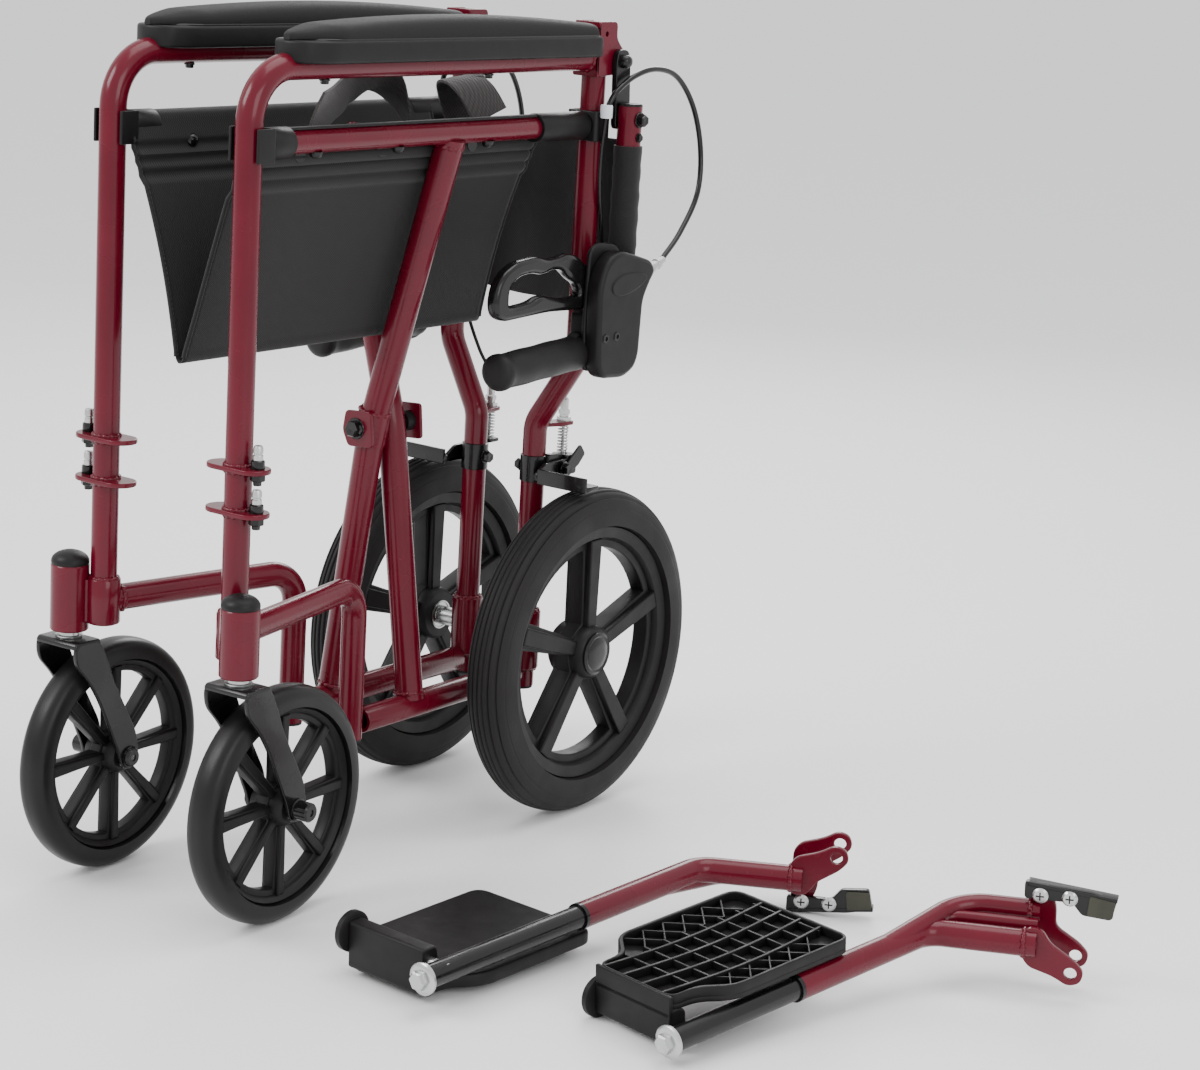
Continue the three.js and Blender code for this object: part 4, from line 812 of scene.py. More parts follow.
# ---- Wheels --------------------------------------------------------------------------------------
@dataclass
class SpokedWheel:
    """A moulded wheel with a solid tyre, in a frame whose x axis is the axle."""

    radius: float
    half: float
    rim: float
    hub: float
    hub_half: float
    spokes: int
    spoke_half: float
    ribs: int
    web_half: float
    rubber: Finish

    def tyre(self, shop: Workshop, node: str) -> None:
        """Builds the ribbed tyre in place of a CAD node."""
        profile: list[Pair] = []
        wall = self.radius - self.rim
        count = 150
        for k in range(count + 1):
            t = math.pi * (k / count - 0.5)
            bulge = abs(math.cos(t)) ** 0.62
            r = self.rim + wall * bulge
            h = self.half * math.copysign(abs(math.sin(t)) ** 0.8, t)
            place = h / self.half * (self.ribs / 2 + 0.5)
            groove = 2.1 * max(0.0, 1 - abs(place - round(place)) * 4.2) if self.ribs and bulge > 0.5 else 0.0
            profile.append((r - groove, h))
        profile += [(self.rim - 0.5, self.half * 0.7), (self.rim - 0.5, -self.half * 0.7)]
        piece = shop.lathe("tyre", profile, "x", (0, 0, 0), self.rubber, 120, closed=True, angle=60.0)
        stands_for(node)

    def _windows(self) -> list[list[Pair]]:
        """Outlines of the openings between spokes, wide at the rim and round in their corners."""
        inner, outer = self.hub + 3.5, self.rim - (22 if self.rim > 100 else 12)
        pitch = math.tau / self.spokes
        windows = []
        for i in range(self.spokes):
            first = math.pi / 2 + pitch * i
            near: list[tuple[float, float]] = []
            for r in np.linspace(inner, outer, 15):
                t = (r - inner) / (outer - inner)
                offset = self.spoke_half * (0.92 + 0.42 * t)
                near.append((float(r), math.asin(min(0.97, offset / r))))
            near = [(r, a) for r, a in near if a < pitch * 0.46]
            ring = [(r * math.cos(first + a), r * math.sin(first + a)) for r, a in near]
            last = near[-1][1]
            arc = np.linspace(first + last, first + pitch - last, 12)[1:-1]
            ring += [(outer * math.cos(a), outer * math.sin(a)) for a in arc]
            ring += [(r * math.cos(first + pitch - a), r * math.sin(first + pitch - a)) for r, a in reversed(near)]
            windows.append(ring)
        return windows

    def wheel(self, shop: Workshop, node: str) -> None:
        """Builds rim, spokes and hub in place of a CAD node."""
        outline = circle((0, 0), self.rim - 0.6, 120)
        span = (-self.web_half, self.web_half)
        piece = shop.prism("web", outline, span, "x", Finishes.PLASTIC, bevel=1.8, holes=self._windows())
        stands_for(node)
        inner = self.rim - (15 if self.rim > 100 else 8)
        half = self.half * 0.74
        lip = [(inner + 3, -half + 2), (self.rim - 2, -half), (self.rim - 0.4, -half + 1.5)]
        lip += [(self.rim - 0.4, half - 1.5), (self.rim - 2, half), (inner + 3, half - 2), (inner, half - 6), (inner, -half + 6)]
        shop.lathe("rim", lip, "x", (0, 0, 0), Finishes.PLASTIC, 120, closed=True)
        for i in range(self.spokes):
            turn = Matrix.Rotation(math.tau * i / self.spokes, 4, "X")
            wide = self.spoke_half * 0.9
            rib = [(self.hub - 5, -wide * 0.8), (inner + 2, -wide), (inner + 2, wide), (self.hub - 5, wide * 0.8)]
            reach = self.web_half + (5.5 if self.rim > 100 else 3.0)
            basis = turn @ Matrix(((0, 0, 1, 0), (0, 1, 0, 0), (1, 0, 0, 0), (0, 0, 0, 1)))
            shop.prism(f"rib_{i}", rib, (-reach, reach), "x", Finishes.PLASTIC, bevel=1.6, basis=basis)
        self._hub(shop)

    def _hub(self, shop: Workshop) -> None:
        r, h = self.hub, self.hub_half
        barrel = [(5, -h), (r - 3, -h), (r, -h + 3), (r + 1.5, -self.web_half), (r + 1.5, self.web_half), (r, h - 3)]
        barrel += [(r - 3, h), (5, h)]
        shop.lathe("hub", barrel, "x", (0, 0, 0), Finishes.PLASTIC, 48, closed=True)


@dataclass
class RearWheel:
    """A rear wheel on its axle."""

    side: Side
    x: float = 94.3
    y: float = 305.9
    radius: float = 155.0

    def build(self, shop: Workshop) -> None:
        """Builds the wheel and its axle.

        Args:
            shop: a workshop in the side's own mirrored frame.
        """
        word = self.side.word
        local = Matrix.Translation((self.x, self.y, self.radius))
        spot = shop.on(f"rear_wheel_{word}").within(local)
        spot.suffix = f"_rear{shop.suffix}"
        wheel = SpokedWheel(155, 21, 121.6, 25, 20, 5, 9.5, 7, 8.5, Finishes.TYRE)
        wheel.tyre(spot, f"rear_tyre_{word}")
        wheel.wheel(spot, f"rear_wheel_{word}")
        cap = [(0, 19), (19, 19), (20.5, 20), (20.2, 21.6), (17.6, 23), (15.5, 22.4), (14, 23.4), (7, 24.2), (0, 24.4)]
        spot.lathe("hub_cap", cap, "x", (0, 0, 0), Finishes.SMOOTH, 44)
        bearing = [(6.4, -19), (13.8, -19), (14, -21.4), (12.4, -21.8), (12, -20.8), (9, -20.8), (8.6, -21.9), (6.4, -21.9)]
        spot.lathe("bearing", bearing, "x", (0, 0, 0), Finishes.ZINC, 40, closed=True)
        axle = shop.within(Matrix.Translation((0, self.y, self.radius)))
        profile = [(0, 49.8), (9, 49.8), (9, 71.5), (6, 72), (6, 95), (0, 95)]
        piece = axle.lathe("axle", profile, "x", (0, 0, 0), Finishes.ZINC, 32)
        stands_for(f"rear_axle_{word}")
        axle.bolt("axle_head", (20.2, 0, 0), "x", 9.2, 6, Finishes.ZINC, -1)


@dataclass
class Castor:
    """A swivelling front castor."""

    side: Side
    stem: Pair = (97.0, -165.5)
    trail: float = 53.0
    radius: float = 101.6
    turn: float = 3.0

    def build(self, shop: Workshop) -> None:
        """Builds fork and wheel.

        Args:
            shop: a workshop in the side's own mirrored frame.
        """
        word = self.side.word
        turn = math.radians(self.turn) * self.side.value
        local = Matrix.Translation((*self.stem, 0)) @ Matrix.Rotation(turn, 4, "Z")
        spot = shop.on(f"castor_{word}").within(local)
        spot.suffix = f"_castor{shop.suffix}"
        self._fork(spot, word)
        wheel_shop = spot.on(f"castor_wheel_{word}").within(Matrix.Translation((0, self.trail, self.radius)))
        wheel_shop.suffix = spot.suffix
        wheel = SpokedWheel(101.6, 14.5, 84.2, 16, 17, 8, 5.0, 0, 6.0, Finishes.TYRE_GLOSSY)
        wheel.tyre(wheel_shop, f"castor_tyre_{word}")
        wheel.wheel(wheel_shop, f"castor_wheel_{word}")

    def _fork(self, shop: Workshop, word: str) -> None:
        t, z = self.trail, self.radius
        leg = [(-16, 214), (14, 214), (23, 196), (33, 172), (t + 8, z + 22), (t + 12, z + 2), (t + 9, z - 8)]
        leg += [(t, z - 12), (t - 9, z - 8), (t - 13, z + 6), (14, 160), (2, 178), (-15, 196)]
        outline = soft_outline(leg, 8)
        for name, span in (("fork_in", (-23.2, -19.2)), ("fork_out", (19.2, 23.2))):
            piece = shop.prism(name, outline, span, "x", Finishes.BLACK_COAT, bevel=1.1)
        stands_for(f"castor_fork_{word}")
        crown = [(-16, 209.6), (-16, 213), (-13.5, 215.4), (13, 215.4), (15.4, 213.4), (15.4, 209.6)]
        basis = AXES["x"]
        shop.prism("crown", soft_outline(crown, 1.4), (-23.0, 23.0), "x", Finishes.BLACK_COAT, bevel=2.2, basis=basis)
        washer = [(0, 215), (11, 215), (11.6, 216), (11.6, 217.4), (9, 217.8), (8.6, 220.6), (11, 220.9), (11, 221.8), (0, 221.8)]
        shop.lathe("stem_washer", washer, "z", (0, 0, 0), Finishes.ZINC, 36)
        shop.lathe("stem_pin", [(0, 215), (6.5, 215), (6.5, 262), (0, 262)], "z", (0, 0, 0), Finishes.ZINC, 24)
        bolt = [(0, -27), (4.6, -27), (4.9, -24), (4.9, 24), (0, 24)]
        shop.lathe("castor_axle", bolt, "x", (0, t, z), Finishes.ZINC, 24)
        for name, sign in (("axle_nut_out", 1), ("axle_nut_in", -1)):
            reach = 38 if sign > 0 else 28
            nut = [(0, 23 * sign), (9.4, 23 * sign), (9.6, 24.5 * sign), (8.4, 25 * sign), (8.2, (reach - 1.6) * sign)]
            nut += [(6.8, reach * sign), (3, reach * sign), (2.6, (reach - 1) * sign), (0, (reach - 1) * sign)]
            shop.lathe(name, nut, "x", (0, t, z), Finishes.SMOOTH, 28)


# ---- Cross brace and seat ------------------------------------------------------------------------
@dataclass
class CrossBrace:
    """One leg of the cross brace with the lower rail it turns on and the seat rail it carries.

    `foot` is the side of the lower rail; the seat rail is on the other side.
    """

    foot: Side
    y: float
    body: str
    half: float = 74.5
    lower: float = 35.0
    rail: float = 645.0
    low: float = 123.0
    pivot: float = 378.0

    def build(self, shop: Workshop) -> None:
        """Builds the leg, its lower rail and its seat rail.

        Args:
            shop: a workshop in the chair's frame.
        """
        s, red = self.foot.value, Finishes.CRIMSON
        spot = shop.on(self.body)
        spot.suffix = f"_{self.foot.word}"
        y = self.y
        line = [(s * self.lower, y, self.low + 6), (0, y, self.pivot), (-s * self.half, y, self.rail - 4)]
        piece = spot.tube("brace", line, 12.7, [260], red, sides=40)
        stands_for(f"cross_brace_{self.foot.word}")
        sleeve = [(8.4, 62), (11, 62), (11.5, 62.8), (11.5, 283.2), (11, 284), (8.4, 284)]
        spot.lathe("lower_rail", sleeve, "y", (s * self.lower, 0, self.low), red, 40, closed=True)
        up = Vector((-s * self.lower, 0, self.pivot - self.low)).normalized()
        foot = Vector((s * self.lower, y, self.low)) + up * 12.5
        spot.weld("weld_foot", tuple(foot), tuple(up), 12.7, red, 31)
        down = Vector((s * self.half, 0, self.pivot - self.rail)).normalized()
        top = Vector((-s * self.half, y, self.rail)) + down * 10.5
        spot.weld("weld_top", tuple(top), tuple(down), 12.7, red, 33)
        other = Side(-s)
        x = -s * self.half
        run = [(x, -117, self.rail), (x, 60, self.rail), (x, 238, self.rail)]
        piece = spot.tube("rail", run, 9.6, [1], red, sides=32, round_end=True)
        stands_for(f"seat_rail_{other.word}")
        for i, at in enumerate((-72.0, 30.0, 150.0)):
            centre = (x - s * 2.5, at, self.rail - 8.2)
            head = [(0, 0), (5.6, 0), (5.6, -1.6), (4.6, -4.2), (2.4, -5.6), (0, -6)]
            spot.lathe(f"rail_screw_{i}", head, "z", centre, Finishes.BLACK_COAT, 20)


@dataclass
class BracePivot:
    """The bracket and bolts where the two legs of the cross brace cross."""

    z: float = 378.0
    front: float = 90.0
    rear: float = 153.7

    def build(self, shop: Workshop) -> None:
        """Builds the saddle bracket and its bolts.

        Args:
            shop: a workshop in the chair's frame.
        """
        spot = shop.on("brace_front")
        spot.suffix = ""
        red = Finishes.CRIMSON
        z = self.z
        flange = soft_outline([(z - 17, -13), (z - 3, -20), (z + 15, -17), (z + 17, 12), (z - 15, 15)], 4)
        piece = spot.prism("pivot_flange_front", flange, (86, 89.8), "y", red, bevel=0.8)
        stands_for("brace_pivot")
        spot.prism("pivot_flange_rear", flange, (self.rear, self.rear + 3.6), "y", red, bevel=0.8)
        shaft = [(0, 84), (4, 84), (4, 160), (0, 160)]
        spot.lathe("pivot_shaft", shaft, "y", (0, 0, z), Finishes.ZINC, 24)
        spot.bolt("pivot_bolt_front", (-4, 86, z), "y", 7.4, 8, Finishes.BLACK_COAT, -1)
        spot.bolt("pivot_bolt_rear", (0, self.rear + 3.6, z), "y", 7.2, 9, Finishes.BLACK_COAT, 1)
        band = [(13.2, -15), (14.6, -15), (14.6, 15), (13.2, 15)]
        lean = Matrix.Translation((0, 103, z)) @ Matrix.Rotation(math.radians(11), 4, "Y")
        inner = spot.within(lean)
        inner.suffix = ""
        inner.lathe("pivot_band", band, "z", (0, 0, 0), red, 36, closed=True)
        inner.weld("pivot_weld", (0, 0, 15), (0, 0, 1), 13.4, red, 41)
        spacer = [(4.2, 143.2), (9, 143.2), (9, 153.5), (4.2, 153.5)]
        spot.lathe("pivot_spacer", spacer, "y", (0, 0, z), Finishes.PLASTIC, 28, closed=True)


@dataclass
class RailGuides:
    """The plastic guides at the two ends of a seat rail."""

    side: Side
    half: float = 74.5

    def build(self, shop: Workshop) -> None:
        """Builds both guides.

        Args:
            shop: a workshop in the side's own mirrored frame.
        """
        word = self.side.word
        spot = shop.on(f"rail_guides_{word}")
        for name, y, s, end in (("front", -148.5, -1, -119.0), ("rear", 304.0, 1, 232.0)):
            outer, inner = 16.3, 13.3
            mouth, back = y + s * 6, y - s * 15.0
            floor = y - s * 11.8
            x = self.half
            ring = [(x - outer, mouth), (x - outer, back), (x + outer, back), (x + outer, mouth)]
            ring += [(x + inner, mouth), (x + inner, floor), (x - inner, floor), (x - inner, mouth)]
            outline = soft_outline(ring, 3.5)
            piece = spot.prism(f"guide_{name}", outline, (631.5, 658.5), "z", Finishes.PLASTIC, bevel=0.9)
            stands_for(f"rail_guide_{name}_{word}")
            start, stop = sorted((back - s * 1, end - s * 14))
            neck = [(0, start), (12.5, start), (12.9, start + 1), (12.9, stop - 1), (12.3, stop), (0, stop)]
            spot.lathe(f"guide_neck_{name}", neck, "y", (x, 0, 645), Finishes.PLASTIC, 36)


@dataclass
class SeatSling:
    """Half of the seat sheet: from its seat rail down to the fold in the middle."""

    side: Side
    half: float = 74.5
    rail: float = 645.0
    bottom: float = 461.0
    ends: Pair = (-142.0, 244.0)

    def build(self, shop: Workshop) -> None:
        """Builds the sheet and its stitching.

        Args:
            shop: a workshop in the side's own mirrored frame.
        """
        word = self.side.word
        rng = np.random.default_rng(7 if self.side is Side.LEFT else 11)
        phases = rng.uniform(0, math.tau, 4)
        run = self._run()
        lengths = [0.0]
        for a, b in zip(run, run[1:]):
            lengths.append(lengths[-1] + math.dist(a, b))
        total = lengths[-1]
        rows = 72
        verts: list[Point] = []
        for (x, z), far in zip(run, lengths):
            t = far / total
            for k in range(rows + 1):
                u = k / rows
                y = self.ends[0] + (self.ends[1] - self.ends[0]) * u
                y += (5.0 * math.sin(math.pi * t) if u < 0.5 else -6.0 * math.sin(math.pi * t)) * abs(2 * u - 1) ** 3
                fade = math.sin(math.pi * min(1, t * 1.02)) ** 1.2
                wave = 0.9 * math.sin(u * 9 + phases[0] + 3 * t) + 0.6 * math.sin(u * 17 + phases[1])
                rib = 3.4 * abs(math.sin((far - 34) / 11.5 * math.pi)) ** 0.6 if 34 < far < 68.5 else 0.0
                verts.append((x + fade * wave + rib, y, z + 0.3 * fade * wave))
        count = rows + 1
        faces = [
            (i * count + k, i * count + k + 1, (i + 1) * count + k + 1, (i + 1) * count + k)
            for i in range(len(run) - 1)
            for k in range(rows)
        ]
        piece = shop.keep("sling", verts, faces, Finishes.FABRIC, 80.0, ride=False)
        thicken(piece, 1.6)
        stands_for(f"seat_sling_{word}")
        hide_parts(f"seat_sling_inner_{word}")
        self._fold(piece)
        self._edges(shop, {"front": verts[::count], "rear": verts[rows::count]})
        self._bolts(shop, run[10][0], word)

    def _fold(self, piece: bpy.types.Object) -> None:
        """Bakes a piece's place into its mesh and leaves it on no body.

        Args:
            piece: the sheet or an edge of it.
        """
        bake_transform(piece)

    def _run(self) -> list[Pair]:
        """Points (x, z) of the sheet's section, from the rail's top to the fold."""
        run: list[Pair] = []
        for k in range(9):
            t = math.radians(70 + 100 * k / 8)
            run.append((self.half + 11.4 * math.cos(t), self.rail + 11.4 * math.sin(t)))
        start, end = run[-1], (5.0, self.bottom + 9)
        for k in range(1, 97):
            t = k / 96
            sag = 3.5 * math.sin(math.pi * t)
            run.append((start[0] + (end[0] - start[0]) * t - sag * 0.9, start[1] + (end[1] - start[1]) * t))
        for k in range(1, 7):
            t = math.pi / 2 * k / 6
            run.append((5.0 * math.cos(t) + 0.0, self.bottom + 9 - 9 * math.sin(t)))
        return run

    def _edges(self, shop: Workshop, edges: dict[str, list[Point]]) -> None:
        """Binds the front and rear edges of the sheet.

        Args:
            shop: a workshop in the side's own mirrored frame.
            edges: the points of each edge, from the rail to the fold.
        """
        for name, line in edges.items():
            bound = line[6:-4:2]
            fabric = Finishes.FABRIC
            piece = shop.tube(f"sling_edge_{name}", bound, 1.9, [1], fabric, sides=10, smooth=True, ride=False)
            self._fold(piece)

    def _bolts(self, shop: Workshop, x: float, word: str) -> None:
        """Puts in the bolts that hold the sheet to its rail.

        Args:
            shop: a workshop in the side's own mirrored frame.
            x: the sheet's inner face beside the rail.
            word: the side's name.
        """
        spot = shop.on(f"sling_{word}")
        for i, y in enumerate((-72.0, 30.0, 150.0)):
            head = [(0, 0), (6.4, 0), (6.4, -1.2), (4.8, -3.8), (2.4, -5.2), (0, -5.6)]
            spot.lathe(f"sling_bolt_{i}", head, "x", (x - 1.2, y, 632), Finishes.SMOOTH, 24)


@dataclass
class SeatBelt:
    """Two loops of webbing lying bunched over the folded seat."""

    width: float = 44.0
    thickness: float = 2.2

    def build(self, shop: Workshop) -> None:
        """Builds both loops.

        Args:
            shop: a workshop in the chair's frame.
        """
        spot = shop.on("brace_front")
        spot.suffix = ""
        front = [(62, -60, 663), (48, -30, 667), (30, 10, 676), (14, 50, 684), (4, 92, 680), (6, 118, 660), (14, 128, 632)]
        rear = [(60, 176, 656), (48, 170, 676), (34, 168, 686), (20, 176, 683), (12, 190, 662), (16, 200, 632)]
        self._loop(spot, "belt_front", front, Vector((0.55, -0.7, 0.45)))
        self._loop(spot, "belt_rear", rear, Vector((0.1, 1.0, 0.1)))

    def _loop(self, shop: Workshop, name: str, points: list[Point], lean: Vector) -> None:
        run = [Vector(p) for p in spline(points, 8)]
        verts: list[Vector] = []
        for i, point in enumerate(run):
            tangent = (run[min(i + 1, len(run) - 1)] - run[max(i - 1, 0)]).normalized()
            across = (lean - tangent * lean.dot(tangent)).normalized()
            face = tangent.cross(across)
            for u, v in ((-1, -1), (-0.5, -1.15), (0, -1), (0.5, -1.15), (1, -1), (1, 1), (0.5, 1.15), (0, 1), (-0.5, 1.15), (-1, 1)):
                cup = 1.6 * (u * u)
                verts.append(point + across * u * self.width / 2 + face * (v * self.thickness / 2 + cup))
        count = 10
        faces = [
            (i * count + k, i * count + (k + 1) % count, (i + 1) * count + (k + 1) % count, (i + 1) * count + k)
            for i in range(len(run) - 1)
            for k in range(count)
        ]
        faces.append(tuple(reversed(range(count))))
        faces.append(tuple((len(run) - 1) * count + k for k in range(count)))
        piece = shop.keep(name, verts, faces, Finishes.WEBBING, 60.0)
        outward(piece)


def thicken(piece: bpy.types.Object, thickness: float) -> None:
    """Gives a sheet a thickness in millimetres, shared to both faces, and applies it."""
    modifier = piece.modifiers.new("thick", "SOLIDIFY")
    modifier.thickness = thickness * MM
    modifier.offset = 0.0
    bpy.context.view_layer.update()
    shown = piece.evaluated_get(bpy.context.evaluated_depsgraph_get())
    mesh = bpy.data.meshes.new_from_object(shown)
    piece.modifiers.clear()
    piece.data = mesh


# ---- Folding back --------------------------------------------------------------------------------
@dataclass
class BackSheet:
    """The back sheet, hanging folded between the two canes."""

    cane: float = 103.0
    y: float = 331.0
    top: float = 632.0
    low: float = 476.0

    def build(self, shop: Workshop) -> None:
        """Builds the sheet.

        Args:
            shop: a workshop in the chair's frame.
        """
        columns, rows = 64, 40
        rng = np.random.default_rng(23)
        phases = rng.uniform(0, math.tau, 3)
        verts: list[Point] = []
        for i in range(columns + 1):
            u = -1 + 2 * i / columns
            x = 97.0 * u
            for k in range(rows + 1):
                v = k / rows
                low = self.low + 16 * abs(u) ** 3
                z = self.top + (low - self.top) * v
                bulge = 7.5 * (1 - abs(u) ** 1.6) + 2.2 * math.sin(5 * v + phases[0]) * (1 - u * u)
                fold = 1.3 * math.sin(u * 11 + phases[1] + v * 2) * (1 - u * u)
                band = 1.0 * max(0.0, math.cos((v - 0.06) * 40)) if v < 0.16 else 0.0
                verts.append((x, self.y - 1.5 + bulge + fold + band, z))
        count = rows + 1
        faces = [
            (i * count + k, (i + 1) * count + k, (i + 1) * count + k + 1, i * count + k + 1)
            for i in range(columns)
            for k in range(rows)
        ]
        piece = shop.keep("back_sheet", verts, faces, Finishes.FABRIC, 80.0, ride=False)
        thicken(piece, 2.0)
        stands_for("back_panel_left")
        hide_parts("back_panel_right")
        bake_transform(piece)

    def sleeve(self, shop: Workshop, word: str) -> None:
        """Builds the fabric sleeve round one cane.

        Args:
            shop: a workshop in the side's own mirrored frame.
            word: the side's name.
        """
        spot = shop.on(f"cane_{word}")
        profile: list[Pair] = [(11.3, 628)]
        rng = np.random.default_rng(31)
        for k in range(26):
            z = 628 - 140 * k / 25
            profile.append((12.9 + 0.35 * math.sin(k * 1.7) + rng.uniform(-0.15, 0.15), z))
        profile.append((11.3, 487))
        spot.lathe("back_sleeve", profile, "z", (self.cane, 324, 0), Finishes.FABRIC, 36, closed=True, angle=70.0)


@dataclass
class Cane:
    """A folded back cane with its push grip, brake lever and cable."""

    side: Side
    x: float = 103.0
    y: float = 324.0
    handle: float = 448.0
    slope: float = 0.06

    def build(self, shop: Workshop) -> None:
        """Builds the cane's pieces.

        Args:
            shop: a workshop in the side's own mirrored frame.
        """
        word = self.side.word
        spot = shop.on(f"cane_{word}")
        end = (self.x, 146.0, self._height(146))
        line = [(self.x, self.y, 664), (self.x, self.y, self.handle), end]
        piece = spot.tube("cane", line, 11.1, [38], Finishes.CRIMSON, sides=36)
        stands_for(f"back_cane_{word}")
        cap = [(0, 662), (10.4, 662), (11.2, 664), (10.6, 666), (0, 666.6)]
        spot.lathe("cane_cap", cap, "z", (self.x, self.y, 0), Finishes.PLASTIC, 32)
        self._strap(spot)
        self._grip(spot, word)
        self._housing(spot, word)
        self._lever(shop.on(f"lever_{word}"), word)
        self._cable(shop, word)

    def _height(self, y: float) -> float:
        return self.handle + self.slope * (y - self.y)

    def _strap(self, shop: Workshop) -> None:
        strap = [(311, 703), (313, 712), (321, 714), (329, 712), (332, 703), (335, 664), (334, 642), (314, 642), (313, 664)]
        shop.prism("hinge_strap", soft_outline(strap, 6), (88.9, 94.6), "x", Finishes.BLACK_COAT, bevel=0.8)
        shop.bolt("strap_bolt", (self.x + 11, self.y, 652), "x", 5.6, 7, Finishes.BLACK_COAT, 1)
        shop.bolt("strap_bolt_low", (self.x + 11, self.y, 636), "x", 3.4, 3, Finishes.BLACK_COAT, 1)

    def _grip(self, shop: Workshop, word: str) -> None:
        tilt = Matrix.Rotation(math.atan(self.slope), 4, "X")
        local = Matrix.Translation((self.x, 281, self._height(281))) @ tilt
        spot = shop.within(local)
        turns = [math.pi / 2 * k / 8 for k in range(9)]
        profile = [(11.4, 3.5), (15.2, 3.5), (16.6, 1), (16.6, -4), (15.8, -7)]
        profile += [(15.8 + 0.25 * math.sin(k * 0.9), -7 - 120 * k / 20) for k in range(1, 21)]
        profile += [(16.4, -129), (16.6, -131)]
        profile += [(5 + 11.6 * math.cos(t), -133 - 8.5 * math.sin(t)) for t in turns]
        profile.append((0, -142))
        piece = spot.lathe("grip", [(0, 3.5), *profile[1:]], "y", (0, 0, 0), Finishes.RUBBER, 48, angle=50.0)
        stands_for(f"push_grip_{word}")
        fin = soft_outline([(-30, 14), (-22, 18.6), (-8, 18.6), (-4, 14)], 4)
        spot.prism("grip_stop", fin, (-5, 5), "x", Finishes.RUBBER, bevel=1.6)

    def _housing(self, shop: Workshop, word: str) -> None:
        plate = [(257, 452), (255, 505), (261, 523), (272, 534), (287, 538), (312, 532), (334, 526), (341, 516)]
        plate += [(331, 503), (324, 490), (322, 440), (316, 428), (300, 421), (268, 423), (259, 432)]
        outline = soft_outline(plate, 9)
        piece = shop.prism("brake_housing", outline, (114.4, 131.4), "x", Finishes.PLASTIC, bevel=4.2)
        stands_for(f"brake_housing_{word}")
        turns = [math.tau * k / 40 for k in range(40)]
        tilt = math.radians(8)
        oval = []
        for t in turns:
            a, b = 27 * math.cos(t), 9.5 * math.sin(t) * (1 - 0.25 * math.cos(t))
            oval.append((299 + a * math.cos(tilt) - b * math.sin(tilt), 508 + a * math.sin(tilt) + b * math.cos(tilt)))
        shop.prism("housing_badge", oval, (129.5, 132.4), "x", Finishes.PLASTIC, bevel=1.2)
        for i, at in enumerate(((267.0, 460.0), (284.0, 460.5))):
            ring = [(0, 0), (4.6, 0), (4.6, 1.2), (3.9, 1.8), (2.3, 1.8), (2.2, 0.4), (0, 0.4)]
            shop.lathe(f"housing_screw_{i}", ring, "x", (130.6, *at), Finishes.BLACK_COAT, 6, angle=20.0)
        clamp = [(259, 428), (256, 470), (258, 538), (270, 545), (300, 541), (312, 520), (313, 428)]
        shop.prism("brake_clamp", soft_outline(clamp, 8), (111.0, 115.5), "x", Finishes.PLASTIC, bevel=1.8)
        column = soft_outline([(262, 440), (262, 482), (300, 482), (312, 470), (312, 440)], 6)
        shop.prism("brake_column", column, (93.5, 113), "x", Finishes.PLASTIC, bevel=3.5)
        barrel = [(0, 338), (5.6, 338), (5.6, 345), (4.4, 346), (4.4, 352), (5.2, 352.6), (5.2, 356), (3.4, 357), (3.2, 364)]
        barrel.append((0, 364))
        rise = Matrix.Translation((123, 342.5, 517)) @ Matrix.Rotation(math.radians(19), 4, "X")
        spot = shop.within(rise @ Matrix.Translation((0, -343, 0)))
        spot.lathe("cable_barrel", barrel, "y", (0, 0, 0), Finishes.ZINC, 24)

    def _lever(self, shop: Workshop, word: str) -> None:
        outer = [(299, 514), (282, 517), (262, 524), (250, 533), (236, 537), (222, 534), (206, 533), (192, 537)]
        outer += [(176, 536), (160, 534), (144, 527), (134, 515), (131, 500), (134, 488), (146, 483), (210, 486)]
        outer += [(262, 484), (299, 500)]
        inner = [(151, 497), (158, 495), (184, 497), (198, 502), (212, 499), (232, 496), (256, 497), (252, 507)]
        inner += [(240, 513), (228, 522), (214, 524), (198, 520), (184, 523), (164, 521), (151, 512)]
        hole = soft_outline(inner, 7)
        piece = shop.prism("lever", soft_outline(outer, 8), (97.8, 110.2), "x", Finishes.SMOOTH, bevel=4.0, holes=[hole])
        stands_for(f"brake_lever_{word}")
        shop.lathe("lever_pivot", [(0, 96.2), (4.4, 96.2), (4.4, 111), (0, 111)], "x", (0, 291, 508), Finishes.ZINC, 20)

    def _cable(self, shop: Workshop, word: str) -> None:
        route = [(122.6, 360, 523.4), (121, 366, 526), (116, 398, 546), (111, 430, 580), (106, 438, 620)]
        route += [(104, 424, 660), (103, 396, 688), (102.5, 362, 696), (101, 330, 690), (99, 306, 676), (96, 298, 662)]
        piece = shop.tube("cable", spline(route, 10), 2.6, [1], Finishes.SMOOTH, sides=16, smooth=True, ride=False)
        stands_for(f"brake_cable_{word}")
        wire = [(95.5, 297.5, 655), (93, 297, 625), (91, 300, 590), (87, 313, 545), (83, 322, 500), (74, 324, 455)]
        wire += [(58, 326, 418), (46, 329, 398), (44, 330, 386)]
        spot = shop.on(f"frame_{word}")
        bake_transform(piece)
        spot.tube("cable_low", spline(wire, 8), 1.7, [1], Finishes.SMOOTH, sides=14, smooth=True)
        ferrule = [(0, 653), (5.2, 653), (5.6, 654), (5.6, 664), (5.0, 665), (0, 665)]
        spot.lathe("ferrule", ferrule, "z", (95.5, 297.6, 0), Finishes.WHITE, 24)


